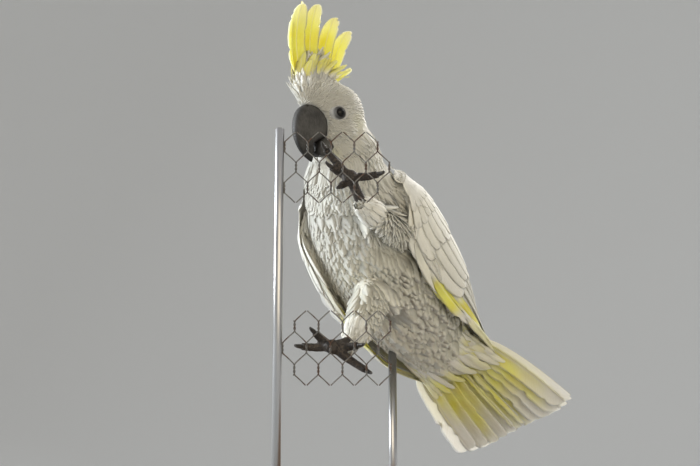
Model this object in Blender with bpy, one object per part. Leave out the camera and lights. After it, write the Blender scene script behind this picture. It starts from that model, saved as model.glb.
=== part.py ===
"""A sulphur-crested cockatoo, life size, holding two cut pieces of wire netting with its feet.

The bird leans back from the netting with its belly towards -Y, its head turned to its right and its
crest raised. A flat base carries one rod for the netting and one for the body. Units are metres, +Z is
up, and the origin is the centre of the base's underside.
"""

import math

import bmesh
import bpy
import numpy as np
from mathutils import Matrix, Vector

# Driving dimensions
GAP = 0.0003  # clearance between pieces that touch
CUT = 0.0002  # half the thickness of the cuts that divide the body

# The spine, from the skull to the tip of the tail: centre, half width, depth of back, depth of belly
SPINE = (
    ((-0.0644, -0.0625, 0.4016), 0.0190, 0.0200, 0.0200),
    ((-0.0575, -0.0545, 0.3865), 0.0255, 0.0270, 0.0260),
    ((-0.0506, -0.0455, 0.3700), 0.0340, 0.0340, 0.0330),
    ((-0.0487, -0.0359, 0.3533), 0.0400, 0.0380, 0.0400),
    ((-0.0441, -0.0252, 0.3367), 0.0470, 0.0430, 0.0470),
    ((-0.0336, -0.0101, 0.3141), 0.0560, 0.0480, 0.0530),
    ((-0.0221, 0.0046, 0.2929), 0.0600, 0.0500, 0.0560),
    ((-0.0045, 0.0241, 0.2635), 0.0600, 0.0480, 0.0540),
    ((0.0133, 0.0420, 0.2371), 0.0540, 0.0420, 0.0460),
    ((0.0337, 0.0628, 0.2115), 0.0410, 0.0310, 0.0340),
    ((0.0598, 0.0876, 0.1908), 0.0260, 0.0170, 0.0200),
    ((0.0952, 0.1191, 0.1630), 0.0120, 0.0060, 0.0060),
    ((0.1367, 0.1571, 0.1283), 0.0080, 0.0030, 0.0030),
)
NECK_TOP, NECK_BASE, TRUNK_END, TAIL_ROOT, TAIL_END = 1.9, 3.6, 10, 9.3, 12
BACK = Vector((0.184, 0.756, 0.629))  # the direction that the bird's back faces

# The head: its centre between the eyes, how far it turns to the bird's right, and how far the bill dips
HEAD_CENTRE = Vector(SPINE[0][0])
HEAD_TURN, HEAD_DIP = math.radians(38), math.radians(8)
EYE_PLACE, EYE_RADIUS = (0.0045, 0.0198, -0.0062), 0.0056

# The netting and the feet that hold it
NET_Y = -0.110
NET_PITCH, NET_TWIST, NET_RISE, NET_WIRE = 0.0205, 0.0100, 0.0085, 0.0013
PALM_Y, PALM_RADIUS = -0.1032, 0.0068
KNEE = {"left": (0.0052, -0.0300, 0.2896), "right": (-0.0226, -0.0120, 0.2475)}
HEEL = {"left": (-0.0335, -0.0900, 0.3061), "right": (-0.0432, -0.0800, 0.1869)}
PALM = {"left": (-0.0450, PALM_Y, 0.3296), "right": (-0.0605, PALM_Y, 0.1788)}
# Each toe: its direction in the plane of the netting in degrees, and its reach from the palm
TOES = {
    "left": {1: (228, 0.0120), 2: (153, 0.0185), 3: (131, 0.0330), 4: (4, 0.0250)},
    "right": {1: (2, 0.0225), 2: (141, 0.0190), 3: (180, 0.0265), 4: (325, 0.0362)},
}
TOE_RADIUS, TOE_ARCH, TOE_DIP = 0.0042, 0.0050, -0.0020
CLAW_REACH, CLAW_DEPTH, CLAW_RADIUS = 0.0075, 0.0120, 0.0024

# The stand
BASE_SIZE, BASE_CORNER = Vector((0.290, 0.270, 0.018)), 0.030
PERCH_ROD, PERCH_ROD_TOP, PERCH_ROD_RADIUS = (-0.1071, NET_Y), 0.372, 0.0040
BODY_ROD, BODY_ROD_TOP, BODY_ROD_RADIUS = (-0.004, 0.046), 0.250, 0.0040

for old in list(bpy.data.objects):
    bpy.data.objects.remove(old, do_unlink=True)


def material(name, colour, roughness, metallic=0.0):
    """A Principled material of one colour."""
    made = bpy.data.materials.new(name)
    made.use_nodes = True
    shader = made.node_tree.nodes["Principled BSDF"]
    shader.inputs["Base Color"].default_value = (*colour, 1)
    shader.inputs["Roughness"].default_value = roughness
    shader.inputs["Metallic"].default_value = metallic
    return made


WHITE = material("plumage", (0.86, 0.85, 0.80), 0.75)
YELLOW = material("crest", (0.90, 0.80, 0.16), 0.65)
GREY_SKIN = material("leg_skin", (0.13, 0.12, 0.115), 0.60)
HORN = material("bill_horn", (0.055, 0.053, 0.053), 0.38)
CLAW_HORN = material("claw_horn", (0.05, 0.045, 0.043), 0.25)
EYE = material("eye", (0.015, 0.011, 0.010), 0.08)
WIRE = material("wire", (0.22, 0.19, 0.16), 0.45, 0.9)
STEEL = material("steel", (0.42, 0.42, 0.42), 0.30, 1.0)
WOOD = material("wood", (0.20, 0.13, 0.085), 0.50)


# Meshes


def face_out(bm):
    """Turns all faces of a closed mesh outwards."""
    bmesh.ops.recalc_face_normals(bm, faces=bm.faces[:])
    if bm.calc_volume(signed=True) < 0:
        bmesh.ops.reverse_faces(bm, faces=bm.faces[:])


def object_of(bm, name, finish=None, smooth=True):
    """A new object that takes over what the bmesh holds."""
    mesh = bpy.data.meshes.new(name)
    bm.to_mesh(mesh)
    bm.free()
    if finish:
        mesh.materials.append(finish)
    if smooth:
        mesh.shade_smooth()
    obj = bpy.data.objects.new(name, mesh)
    bpy.context.scene.collection.objects.link(obj)
    return obj


def mesh_object(name, points, faces, finish=None):
    """A smooth object from points and faces."""
    bm = bmesh.new()
    verts = [bm.verts.new(p) for p in points]
    for face in faces:
        bm.faces.new([verts[i] for i in face])
    face_out(bm)
    return object_of(bm, name, finish)


def loft(name, rings, finish=None):
    """A closed skin over rings that all have the same number of points."""
    count = len(rings[0])
    points = [p for ring in rings for p in ring]
    faces = []
    for r in range(len(rings) - 1):
        for i in range(count):
            j = (i + 1) % count
            faces.append((r * count + i, r * count + j, (r + 1) * count + j, (r + 1) * count + i))
    for first, ring in ((0, rings[0]), (len(points) - count, rings[-1])):
        points.append(sum((Vector(p) for p in ring), Vector()) / count)
        for i in range(count):
            faces.append((first + i, first + (i + 1) % count, len(points) - 1))
    return mesh_object(name, points, faces, finish)


def tube(name, path, radii, finish=None, sides=8):
    """A round tube along a path, with a radius for each of its points."""
    path = [Vector(p) for p in path]
    rings = []
    side = None
    for i, point in enumerate(path):
        along = (path[min(i + 1, len(path) - 1)] - path[max(i - 1, 0)]).normalized()
        if side is None:
            side = along.orthogonal().normalized()
        side = (side - along * side.dot(along)).normalized()
        other = along.cross(side)
        turns = [math.tau * k / sides for k in range(sides)]
        rings.append([point + (side * math.cos(a) + other * math.sin(a)) * radii[i] for a in turns])
    return loft(name, rings, finish)


def ellipsoid(name, centre, axes, radii):
    """A stretched sphere whose axes point along the three given directions."""
    bpy.ops.mesh.primitive_uv_sphere_add(segments=12, ring_count=8, radius=1)
    obj = bpy.context.object
    obj.name = name
    turn = Matrix([axis * r for axis, r in zip(axes, radii)]).transposed().to_4x4()
    obj.data.transform(Matrix.Translation(centre) @ turn)
    return obj


def settle(obj):
    """Replaces the object's mesh by what its modifiers make of it."""
    graph = bpy.context.evaluated_depsgraph_get()
    made = bpy.data.meshes.new_from_object(obj.evaluated_get(graph))
    obj.modifiers.clear()
    obj.data = made
    return obj


def joined(name, objects):
    """One object that holds the meshes of all of these, still as separate shells."""
    bm = bmesh.new()
    for obj in objects:
        bm.from_mesh(obj.data)
        bpy.data.objects.remove(obj)
    return object_of(bm, name)


def fused(name, objects, voxel, smoothing, triangles, finish):
    """One smooth body grown over several overlapping shells."""
    obj = joined(name, objects)
    remesh = obj.modifiers.new("skin", "REMESH")
    remesh.mode = "VOXEL"
    remesh.voxel_size = voxel
    soften = obj.modifiers.new("soften", "SMOOTH")
    soften.factor = 0.6
    soften.iterations = smoothing
    settle(obj)
    thin = obj.modifiers.new("thin", "DECIMATE")
    thin.ratio = min(1.0, triangles / (2 * len(obj.data.polygons)))
    settle(obj)
    obj.data.materials.clear()
    obj.data.materials.append(finish)
    obj.data.shade_smooth()
    return obj


def swollen(obj, by):
    """A copy of an object whose surface stands out by a clearance."""
    bm = bmesh.new()
    bm.from_mesh(obj.data)
    bmesh.ops.remove_doubles(bm, verts=bm.verts[:], dist=1e-6)
    bm.normal_update()
    moves = [(v, v.normal * by * min(2.0, v.calc_shell_factor())) for v in bm.verts]
    for vert, move in moves:
        vert.co += move
    return object_of(bm, obj.name + "_clearance")


def boolean(obj, other, operation):
    """Joins another object to this one or cuts it away."""
    tool = obj.modifiers.new(operation.lower(), "BOOLEAN")
    tool.operation = operation
    tool.object = other
    tool.solver = "EXACT"
    settle(obj)
    bpy.data.objects.remove(other)
    return obj


def make_room(obj, *neighbours):
    """Cuts each neighbour, and the clearance round it, out of an object."""
    for neighbour in neighbours:
        boolean(obj, swollen(neighbour, GAP), "DIFFERENCE")
    return obj


def largest_piece(obj):
    """Keeps only the largest of an object's separate shells."""
    bm = bmesh.new()
    bm.from_mesh(obj.data)
    left, shells = set(bm.verts), []
    while left:
        todo = [left.pop()]
        shell = set(todo)
        while todo:
            for edge in todo.pop().link_edges:
                for vert in edge.verts:
                    if vert in left:
                        left.discard(vert)
                        shell.add(vert)
                        todo.append(vert)
        shells.append(shell)
    keep = max(shells, key=len)
    bmesh.ops.delete(bm, geom=[v for v in bm.verts if v not in keep], context="VERTS")
    bm.to_mesh(obj.data)
    bm.free()
    return obj


def sliced(name, whole, cuts):
    """The piece of a whole on the far side of each cut, a pair of a point and a normal."""
    bm = bmesh.new()
    bm.from_mesh(whole.data)
    for point, normal in cuts:
        geom = bm.verts[:] + bm.edges[:] + bm.faces[:]
        place = point + normal.normalized() * CUT
        done = bmesh.ops.bisect_plane(bm, geom=geom, plane_co=place, plane_no=normal, clear_inner=True)
        rim = [e for e in done["geom_cut"] if isinstance(e, bmesh.types.BMEdge)]
        bmesh.ops.triangle_fill(bm, edges=rim, use_beauty=True)
    face_out(bm)
    return object_of(bm, name, WHITE)


# The spine as a smooth curve


def along(values, place):
    """A Catmull-Rom reading of evenly numbered values at a fractional place."""
    last = len(values) - 1
    i = min(int(place), last - 1)
    u = place - i
    a, b, c, d = (np.array(values[min(max(k, 0), last)], float) for k in (i - 1, i, i + 1, i + 2))
    return 0.5 * (2 * b + (c - a) * u + (2 * a - 5 * b + 4 * c - d) * u**2 + (3 * b - a - 3 * c + d) * u**3)


def spine_frame(place):
    """Centre, the ways to the tail, left and back, and the three half sizes, at a place on the spine."""
    centres = [row[0] for row in SPINE]
    centre = Vector(along(centres, place))
    step = 0.05
    ahead = Vector(along(centres, min(place + step, TAIL_END))) - Vector(along(centres, max(place - step, 0)))
    tailward = ahead.normalized()
    back = (BACK - tailward * BACK.dot(tailward)).normalized()
    sizes = along([row[1:] for row in SPINE], place)
    return centre, tailward, tailward.cross(back), back, sizes


def head_axes():
    """The head's forward, left and upward directions."""
    flat = Vector((-math.cos(HEAD_TURN), -math.sin(HEAD_TURN), 0))
    forward = flat * math.cos(HEAD_DIP) - Vector((0, 0, math.sin(HEAD_DIP)))
    left = Vector((0, 0, 1)).cross(flat)
    return forward, left, forward.cross(left)


FORWARD, LEFT, UP = head_axes()


def in_head(x, y, z):
    """A point given forward, left and up from the centre of the head."""
    return HEAD_CENTRE + FORWARD * x + LEFT * y + UP * z


# Flesh and plumage


def body_whole():
    """Head, neck and trunk as one body, before it is divided."""
    rings = []
    for place in np.linspace(0, TRUNK_END, 26):
        centre, _, left, back, (width, depth, belly) = spine_frame(place)
        ring = []
        for k in range(24):
            a = math.tau * k / 24
            high = depth if math.sin(a) > 0 else belly
            ring.append(centre + left * width * math.cos(a) + back * high * math.sin(a))
        rings.append(ring)
    tail_stub, tailward, left, back, (width, depth, _) = spine_frame(TRUNK_END)
    axes = (FORWARD, LEFT, UP)
    shells = [
        loft("torso", rings),
        ellipsoid("stub", tail_stub, (tailward, left, back), (0.016, width, depth)),
        ellipsoid("skull", in_head(-0.0080, 0, -0.0030), axes, (0.0270, 0.0265, 0.0310)),
        ellipsoid("brow", in_head(0.0150, 0, 0.0150), axes, (0.0215, 0.0165, 0.0165)),
        ellipsoid("crown", in_head(0.0080, 0, 0.0230), axes, (0.0200, 0.0125, 0.0160)),
        ellipsoid("cheek_left", in_head(-0.0030, 0.0110, -0.0200), axes, (0.0185, 0.0160, 0.0195)),
        ellipsoid("cheek_right", in_head(-0.0030, -0.0110, -0.0200), axes, (0.0185, 0.0160, 0.0195)),
        ellipsoid("nape", in_head(-0.0160, 0, -0.0150), axes, (0.0220, 0.0240, 0.0260)),
    ]
    return fused("body", shells, voxel=0.003, smoothing=6, triangles=1520, finish=WHITE)


# A folded wing's outer half width and height over the spine, the lowest and highest angle it wraps round the
# body, and its thickness, at places on the spine
WING = (
    (4.2, 0.0540, 0.0470, -8, 40, 0.0050),
    (5.0, 0.0660, 0.0540, -30, 70, 0.0100),
    (6.0, 0.0710, 0.0570, -41, 80, 0.0120),
    (7.0, 0.0720, 0.0560, -42, 83, 0.0120),
    (8.0, 0.0680, 0.0510, -37, 84, 0.0110),
    (9.0, 0.0580, 0.0420, -24, 85, 0.0090),
    (10.0, 0.0440, 0.0290, -4, 84, 0.0065),
    (11.0, 0.0300, 0.0150, 22, 80, 0.0040),
    (11.6, 0.0200, 0.0100, 40, 74, 0.0022),
)


def wing(name, side):
    """A folded wing: a long shell that wraps the flank and lies over the rump and the root of the tail."""
    places = [row[0] for row in WING]
    rings = []
    for place in np.linspace(places[0], places[-1], 12):
        row = along([r[1:] for r in WING], float(np.interp(place, places, range(len(places)))))
        width, height, low, high, thick = row
        centre, _, left, back, sizes = spine_frame(place)
        outer, inner = [], []
        for u in np.linspace(-1, 1, 8):
            a = math.radians(low + (high - low) * (u + 1) / 2)
            depth = height if a > 0 else max(sizes[2] + 0.004, 0.010)
            edge = thick * (0.12 + 0.88 * (1 - u**4))
            reach = left * (side * math.cos(a))
            outer.append(centre + reach * width + back * depth * math.sin(a))
            inner.append(centre + reach * (width - edge) + back * (depth - edge) * math.sin(a))
        rings.append(outer + inner[::-1])
    return loft(name, rings, WHITE)


TAIL_HALF, TAIL_SHIFT = (0.0220, 0.0690), -0.0030  # half width at the root and at the tips, and a lean
TAIL_THICK = (0.0090, 0.0018)
TAIL_FEATHERS = 12


def tail():
    """The spread tail: a shallow fan whose end shows the tips of its feathers."""
    columns, rows = 2 * TAIL_FEATHERS, 5
    reach = TAIL_END - TAIL_ROOT
    upper, lower = [], []
    for r in range(rows):
        for c in range(columns + 1):
            u = 2 * c / columns - 1
            tip = 1 - 0.12 * abs(u) ** 4 - (0.012 if c % 2 == 0 else 0)
            share = r / (rows - 1)
            centre, _, left, back, _ = spine_frame(TAIL_ROOT + reach * share * tip)
            half = TAIL_HALF[0] + (TAIL_HALF[1] - TAIL_HALF[0]) * share**0.62
            thick = TAIL_THICK[0] + (TAIL_THICK[1] - TAIL_THICK[0]) * share**0.5
            arch = back * (-0.006 * u * u * share)
            point = centre + left * (half * u + TAIL_SHIFT * share) + arch
            bulge = thick / 2 * (1 - 0.7 * u**4)
            upper.append(point + back * bulge)
            lower.append(point - back * bulge)
    wide, half_count = columns + 1, len(upper)
    faces = []
    for r in range(rows - 1):
        for c in range(columns):
            a = r * wide + c
            faces.append((a, a + 1, a + wide + 1, a + wide))
            faces.append(tuple(half_count + k for k in (a, a + wide, a + wide + 1, a + 1)))
    border = list(range(wide))
    border += [r * wide + columns for r in range(1, rows)]
    border += [(rows - 1) * wide + c for c in range(columns - 1, -1, -1)]
    border += [r * wide for r in range(rows - 2, 0, -1)]
    for a, b in zip(border, border[1:] + border[:1]):
        faces.append((a, b, b + half_count, a + half_count))
    return mesh_object("tail", upper + lower, faces, WHITE)


# A crest feather: the side of the crown it stands on, then forward and upward places of its root and its tip
# in the head, and how far it bows forward between them
CREST = (
    (-1, (0.029, 0.016), (0.022, 0.094), 0.011),
    (1, (0.027, 0.020), (0.021, 0.100), 0.016),
    (-1, (0.021, 0.025), (0.013, 0.106), 0.014),
    (1, (0.016, 0.028), (0.004, 0.101), 0.012),
    (-1, (0.010, 0.030), (-0.007, 0.101), 0.010),
    (1, (0.004, 0.031), (-0.015, 0.090), 0.009),
    (-1, (-0.001, 0.031), (-0.018, 0.082), 0.006),
    (1, (-0.005, 0.029), (-0.029, 0.078), 0.008),
    (-1, (-0.009, 0.026), (-0.036, 0.045), 0.006),
)
CREST_WIDTH, CREST_THICK, CREST_SPLAY = 0.0165, 0.0013, 0.0026


def crest_feather(number, side, root, tip, bow):
    """One blade of the crest, which rises from the crown in a shallow bow."""
    start = in_head(root[0], side * CREST_SPLAY, root[1])
    end = in_head(tip[0], side * CREST_SPLAY * 1.8, tip[1])
    middle = (start + end) / 2 + FORWARD * bow
    rings = []
    for u in np.linspace(0, 1, 6):
        centre = start * (1 - u) ** 2 + middle * 2 * u * (1 - u) + end * u**2
        rise = ((middle - start) * (1 - u) + (end - middle) * u).normalized()
        ahead = (FORWARD - rise * FORWARD.dot(rise)).normalized()
        across = (ahead - LEFT * side * 0.8).normalized()
        flat = across.cross(rise).normalized()
        width = CREST_WIDTH / 2 * (0.10 + 0.90 * math.sin(math.pi * (0.26 + 0.73 * u)) ** 0.8)
        thick = CREST_THICK / 2 * (1.6 - u)
        section = ((1, 0), (0, 1), (-1, 0), (0, -1))
        rings.append([centre + across * width * a + flat * thick * b for a, b in section])
    return loft(f"blade_{number}", rings, YELLOW)


def crest():
    """All the long crest feathers, joined at the crown."""
    axes = (FORWARD, LEFT, UP)
    whole = ellipsoid("crest", in_head(0.011, 0, 0.027), axes, (0.0235, 0.0110, 0.0175))
    whole.data.materials.append(YELLOW)
    for number, row in enumerate(CREST):
        boolean(whole, crest_feather(number, *row), "UNION")
    whole.data.shade_smooth()
    return whole


# Bill and eyes


# Places along each half of the bill: its ridge and its rim in the middle plane, and its half width
UPPER_BILL = (
    ((0.0180, 0.0040), (0.0020, -0.0170), 0.0110),
    ((0.0270, 0.0055), (0.0070, -0.0230), 0.0130),
    ((0.0350, 0.0015), (0.0120, -0.0260), 0.0128),
    ((0.0400, -0.0060), (0.0165, -0.0275), 0.0117),
    ((0.0428, -0.0160), (0.0200, -0.0295), 0.0100),
    ((0.0425, -0.0255), (0.0225, -0.0335), 0.0079),
    ((0.0395, -0.0350), (0.0238, -0.0385), 0.0054),
    ((0.0340, -0.0425), (0.0248, -0.0432), 0.0032),
    ((0.0270, -0.0478), (0.0258, -0.0470), 0.0008),
)
LOWER_BILL = (
    ((0.0030, -0.0230), (0.0010, -0.0370), 0.0098),
    ((0.0100, -0.0245), (0.0090, -0.0405), 0.0102),
    ((0.0160, -0.0270), (0.0155, -0.0425), 0.0094),
    ((0.0200, -0.0310), (0.0202, -0.0425), 0.0074),
    ((0.0222, -0.0365), (0.0226, -0.0400), 0.0036),
)


def horn(name, rows, sharp):
    """A horny sheath between a ridge and a rim, narrower by a share along its ridge."""
    rings = []
    for ridge, rim, width in rows:
        ring = []
        for k in range(14):
            a = math.tau * k / 14
            up = (1 + math.cos(a)) / 2
            x, z = (rim[i] + (ridge[i] - rim[i]) * up for i in (0, 1))
            side = math.copysign(abs(math.sin(a)) ** 0.65, math.sin(a))
            ring.append(in_head(x, width * side * (1 - sharp * up), z))
        rings.append(ring)
    return loft(name, rings, HORN)


def eye(name, side):
    x, y, z = EYE_PLACE
    ball = ellipsoid(name, in_head(x, side * y, z), (FORWARD, LEFT, UP), (EYE_RADIUS,) * 3)
    ball.data.materials.append(EYE)
    ball.data.shade_smooth()
    return ball


# Legs


def thigh(side):
    """The feathered thigh, from inside the belly to the heel."""
    knee, heel = Vector(KNEE[side]), Vector(HEEL[side])
    path = [knee.lerp(heel, u) for u in (0, 0.2, 0.4, 0.6, 0.8, 0.93, 1.0)]
    radii = (0.0165, 0.0170, 0.0160, 0.0140, 0.0115, 0.0092, 0.0062)
    return tube(f"thigh_{side}", path, radii, WHITE, sides=12)


def shank(side):
    """The bare, scaly shank between the heel and the toes."""
    heel, palm = Vector(HEEL[side]), Vector(PALM[side])
    path = [heel.lerp(palm, u) for u in (-0.12, 0.1, 0.5, 0.85, 1.0)]
    return tube(f"shank_{side}", path, (0.0048, 0.0052, 0.0046, 0.0050, 0.0045), GREY_SKIN, sides=10)


def toe_path(side, number):
    """The middle line of a toe, which arches behind the netting, and the way that it points."""
    degrees, reach = TOES[side][number]
    way = Vector((math.cos(math.radians(degrees)), 0, math.sin(math.radians(degrees))))
    palm = Vector(PALM[side])
    path = []
    for u in np.linspace(0.1, 1, 9):
        path.append(palm + way * reach * u + Vector((0, TOE_ARCH * math.sin(math.pi * u) + TOE_DIP * u, 0)))
    return path, way


def foot(side):
    """The sole and its four toes, two forward and two back."""
    palm = Vector(PALM[side])
    axes = (Vector((1, 0, 0)), Vector((0, 1, 0)), Vector((0, 0, 1)))
    shells = [ellipsoid("sole", palm, axes, (PALM_RADIUS, 0.0056, PALM_RADIUS))]
    for number in TOES[side]:
        path, _ = toe_path(side, number)
        knuckles = [1 + 0.08 * math.cos(math.tau * i / 2.7) for i in range(9)]
        radii = [TOE_RADIUS * (1 - 0.18 * i / 8) * knuckles[i] for i in range(9)]
        shells.append(tube("toe", path, radii))
    return fused(f"foot_{side}", shells, voxel=0.0010, smoothing=2, triangles=250, finish=GREY_SKIN)


def claw(side, number):
    """A curved claw that passes through the netting beyond the end of its toe."""
    path, way = toe_path(side, number)
    start, through = path[-1] - way * 0.0008, Vector((0, -1, 0))
    bend = start + way * CLAW_REACH + through * 0.0035
    tip = start + way * CLAW_REACH * 0.72 + through * CLAW_DEPTH
    points, radii = [], []
    for u in np.linspace(0, 1, 5):
        points.append(start * (1 - u) ** 2 + bend * 2 * u * (1 - u) + tip * u**2)
        radii.append(CLAW_RADIUS * (1 - u) ** 0.7 + 0.0003)
    return tube(f"claw_{side}_{number}", points, radii, CLAW_HORN, sides=6)


# Netting and stand


def netting(name, first, rows, columns, shift):
    """A cut piece of hexagonal netting: rows of cells, every other row shifted by half a cell."""
    corners = ((0, 0.5, 1), (0.5, 0.5, 0), (0.5, -0.5, 0), (0, -0.5, -1), (-0.5, -0.5, 0), (-0.5, 0.5, 0))
    bm = bmesh.new()
    seen = {}
    for r in range(rows):
        for c in range(columns):
            x = first[0] + (c + (r % 2) * shift) * NET_PITCH
            z = first[1] + r * (NET_TWIST + NET_RISE)
            ring = []
            for across, twist, rise in corners:
                place = (round(x + across * NET_PITCH, 6), round(z + twist * NET_TWIST + rise * NET_RISE, 6))
                if place not in seen:
                    seen[place] = bm.verts.new((place[0], NET_Y, place[1]))
                ring.append(seen[place])
            bm.faces.new(ring)
    bm.normal_update()
    holes = bm.faces[:]
    bmesh.ops.inset_individual(bm, faces=holes, thickness=NET_WIRE / 2, use_even_offset=True)
    bmesh.ops.delete(bm, geom=holes, context="FACES")
    for face in bm.faces[:]:
        if face.normal.y > 0:
            face.normal_flip()
    obj = object_of(bm, name, WIRE, smooth=False)
    thick = obj.modifiers.new("wire", "SOLIDIFY")
    thick.thickness = NET_WIRE
    thick.offset = 0
    return obj


def rod(name, place, top, radius):
    """An upright steel rod that stands on the base."""
    x, y = place
    path = [(x, y, z) for z in (BASE_SIZE.z + GAP, top - 0.001, top)]
    return tube(name, path, (radius, radius, radius * 0.75), STEEL, sides=20)


def base():
    """The flat base, a board with round corners and softened edges."""
    bm = bmesh.new()
    half = BASE_SIZE / 2
    outline = []
    for quarter in range(4):
        sx, sy = ((1, 1), (-1, 1), (-1, -1), (1, -1))[quarter]
        corner = Vector((sx * (half.x - BASE_CORNER), sy * (half.y - BASE_CORNER), 0))
        for k in range(6):
            a = math.radians(90 * quarter + 18 * k)
            outline.append(bm.verts.new(corner + Vector((math.cos(a), math.sin(a), 0)) * BASE_CORNER))
    bottom = bm.faces.new(outline)
    raised = bmesh.ops.extrude_face_region(bm, geom=[bottom], use_keep_orig=True)
    top = [v for v in raised["geom"] if isinstance(v, bmesh.types.BMVert)]
    bmesh.ops.translate(bm, verts=top, vec=(0, 0, BASE_SIZE.z))
    top_rim = [e for e in bm.edges if e.verts[0] in top and e.verts[1] in top]
    bmesh.ops.bevel(bm, geom=top_rim, offset=0.003, segments=2, affect="EDGES", profile=0.5)
    face_out(bm)
    return object_of(bm, "stand_base", WOOD, smooth=False)


def build():
    """Makes every piece, then cuts each where its neighbour lies."""
    wings = [wing("wing_left", 1), wing("wing_right", -1)]
    whole = make_room(body_whole(), *wings)
    largest_piece(make_room(tail(), whole, *wings))
    thighs = [largest_piece(make_room(thigh(side), whole)) for side in KNEE]
    for side, leg in zip(KNEE, thighs):
        lower_leg = largest_piece(make_room(shank(side), leg))
        sole = make_room(foot(side), lower_leg, leg)
        for number in TOES[side]:
            talon = claw(side, number)
            make_room(sole, talon)
        largest_piece(sole)
    upper, lower = horn("bill_upper", UPPER_BILL, 0.35), horn("bill_lower", LOWER_BILL, -0.10)
    largest_piece(make_room(lower, upper))
    largest_piece(make_room(crest(), whole))
    make_room(whole, upper, lower, eye("eye_left", 1), eye("eye_right", -1))
    largest_piece(whole)
    top, top_way = spine_frame(NECK_TOP)[:2]
    low, low_way = spine_frame(NECK_BASE)[:2]
    sliced("head", whole, [(top, -top_way)])
    sliced("neck", whole, [(top, top_way), (low, -low_way)])
    trunk = sliced("trunk", whole, [(low, low_way)])
    bpy.data.objects.remove(whole)
    base()
    rod("stand_rod_perch", PERCH_ROD, PERCH_ROD_TOP, PERCH_ROD_RADIUS)
    support = rod("stand_rod_body", BODY_ROD, BODY_ROD_TOP, BODY_ROD_RADIUS)
    largest_piece(make_room(support, trunk))
    netting("netting_upper", (-0.0925, 0.3180), 3, 4, 0.5)
    netting("netting_lower", (-0.08225, 0.1585), 3, 4, -0.5)


build()
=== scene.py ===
# %% [markdown]
# # A sulphur-crested cockatoo, dressed feather by feather
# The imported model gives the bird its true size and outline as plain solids. This lesson puts a living
# surface over them: one skin just under the feathers, a coat of small vanes laid out by Geometry Nodes,
# long feathers for wings, tail and crest, then horn, eyes, scaly feet, twisted wire and the stand.

# %% The frame and its box
import math

import bmesh
import bpy
import numpy as np
from mathutils import Matrix, Vector, noise
from mathutils.bvhtree import BVHTree


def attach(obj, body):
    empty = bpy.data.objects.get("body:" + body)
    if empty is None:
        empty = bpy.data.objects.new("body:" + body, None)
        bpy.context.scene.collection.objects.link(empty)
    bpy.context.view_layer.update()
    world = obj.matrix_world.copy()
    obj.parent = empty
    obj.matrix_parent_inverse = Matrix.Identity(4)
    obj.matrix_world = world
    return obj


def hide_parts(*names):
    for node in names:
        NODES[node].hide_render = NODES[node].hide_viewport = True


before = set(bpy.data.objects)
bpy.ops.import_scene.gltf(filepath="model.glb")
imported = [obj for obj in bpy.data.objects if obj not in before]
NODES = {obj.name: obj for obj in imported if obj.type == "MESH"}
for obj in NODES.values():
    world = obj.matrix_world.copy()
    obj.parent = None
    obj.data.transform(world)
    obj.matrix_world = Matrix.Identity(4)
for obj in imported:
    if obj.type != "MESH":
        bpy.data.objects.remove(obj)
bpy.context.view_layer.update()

# %% [markdown]
# ## Three small helpers
# Ways in space are kept one long, soft steps blend one thing into another, and every new mesh, lamp or
# camera has to be shown in the scene.


# %% Ways, soft steps and new objects
def unit(v):
    return v / max(np.linalg.norm(v), 1e-12)


def smoothstep(low, high, x):
    """0 below low, 1 above high, and a soft rise between them."""
    t = np.clip((x - low) / (high - low), 0, 1)
    return t * t * (3 - 2 * t)


def shown(name, mesh):
    made = bpy.data.objects.new(name, mesh)
    bpy.context.scene.collection.objects.link(made)
    return made


print("helpers ready")

# %% [markdown]
# ## The same named lines as the solids
# Feathers follow the body, so this file repeats the few lines that shape it: the spine, the folded wing
# and the turn of the head. Everything else is measured from the solids themselves.

# %% Spine, wing, tail and head
SIDES = (("left", 1), ("right", -1))
# The spine from skull to tail tip: centre, half width, depth of the back, depth of the belly
SPINE = (
    ((-0.0644, -0.0625, 0.4016), 0.0190, 0.0200, 0.0200),
    ((-0.0575, -0.0545, 0.3865), 0.0255, 0.0270, 0.0260),
    ((-0.0506, -0.0455, 0.3700), 0.0340, 0.0340, 0.0330),
    ((-0.0487, -0.0359, 0.3533), 0.0400, 0.0380, 0.0400),
    ((-0.0441, -0.0252, 0.3367), 0.0470, 0.0430, 0.0470),
    ((-0.0336, -0.0101, 0.3141), 0.0560, 0.0480, 0.0530),
    ((-0.0221, 0.0046, 0.2929), 0.0600, 0.0500, 0.0560),
    ((-0.0045, 0.0241, 0.2635), 0.0600, 0.0480, 0.0540),
    ((0.0133, 0.0420, 0.2371), 0.0540, 0.0420, 0.0460),
    ((0.0337, 0.0628, 0.2115), 0.0410, 0.0310, 0.0340),
    ((0.0598, 0.0876, 0.1908), 0.0260, 0.0170, 0.0200),
    ((0.0952, 0.1191, 0.1630), 0.0120, 0.0060, 0.0060),
    ((0.1367, 0.1571, 0.1283), 0.0080, 0.0030, 0.0030),
)
TAIL_ROOT, TAIL_END, TAIL_HALF, TAIL_SHIFT = 9.3, 12, (0.0220, 0.0690), -0.0030
# The folded wing: place on the spine, reach to the side and to the back, lowest and highest angle, thickness
WING = (
    (4.2, 0.0540, 0.0470, -8, 40, 0.0050),
    (5.0, 0.0660, 0.0540, -30, 70, 0.0100),
    (6.0, 0.0710, 0.0570, -41, 80, 0.0120),
    (7.0, 0.0720, 0.0560, -42, 83, 0.0120),
    (8.0, 0.0680, 0.0510, -37, 84, 0.0110),
    (9.0, 0.0580, 0.0420, -24, 85, 0.0090),
    (10.0, 0.0440, 0.0290, -4, 84, 0.0065),
    (11.0, 0.0300, 0.0150, 22, 80, 0.0040),
    (11.6, 0.0200, 0.0100, 40, 74, 0.0022),
)
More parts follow.
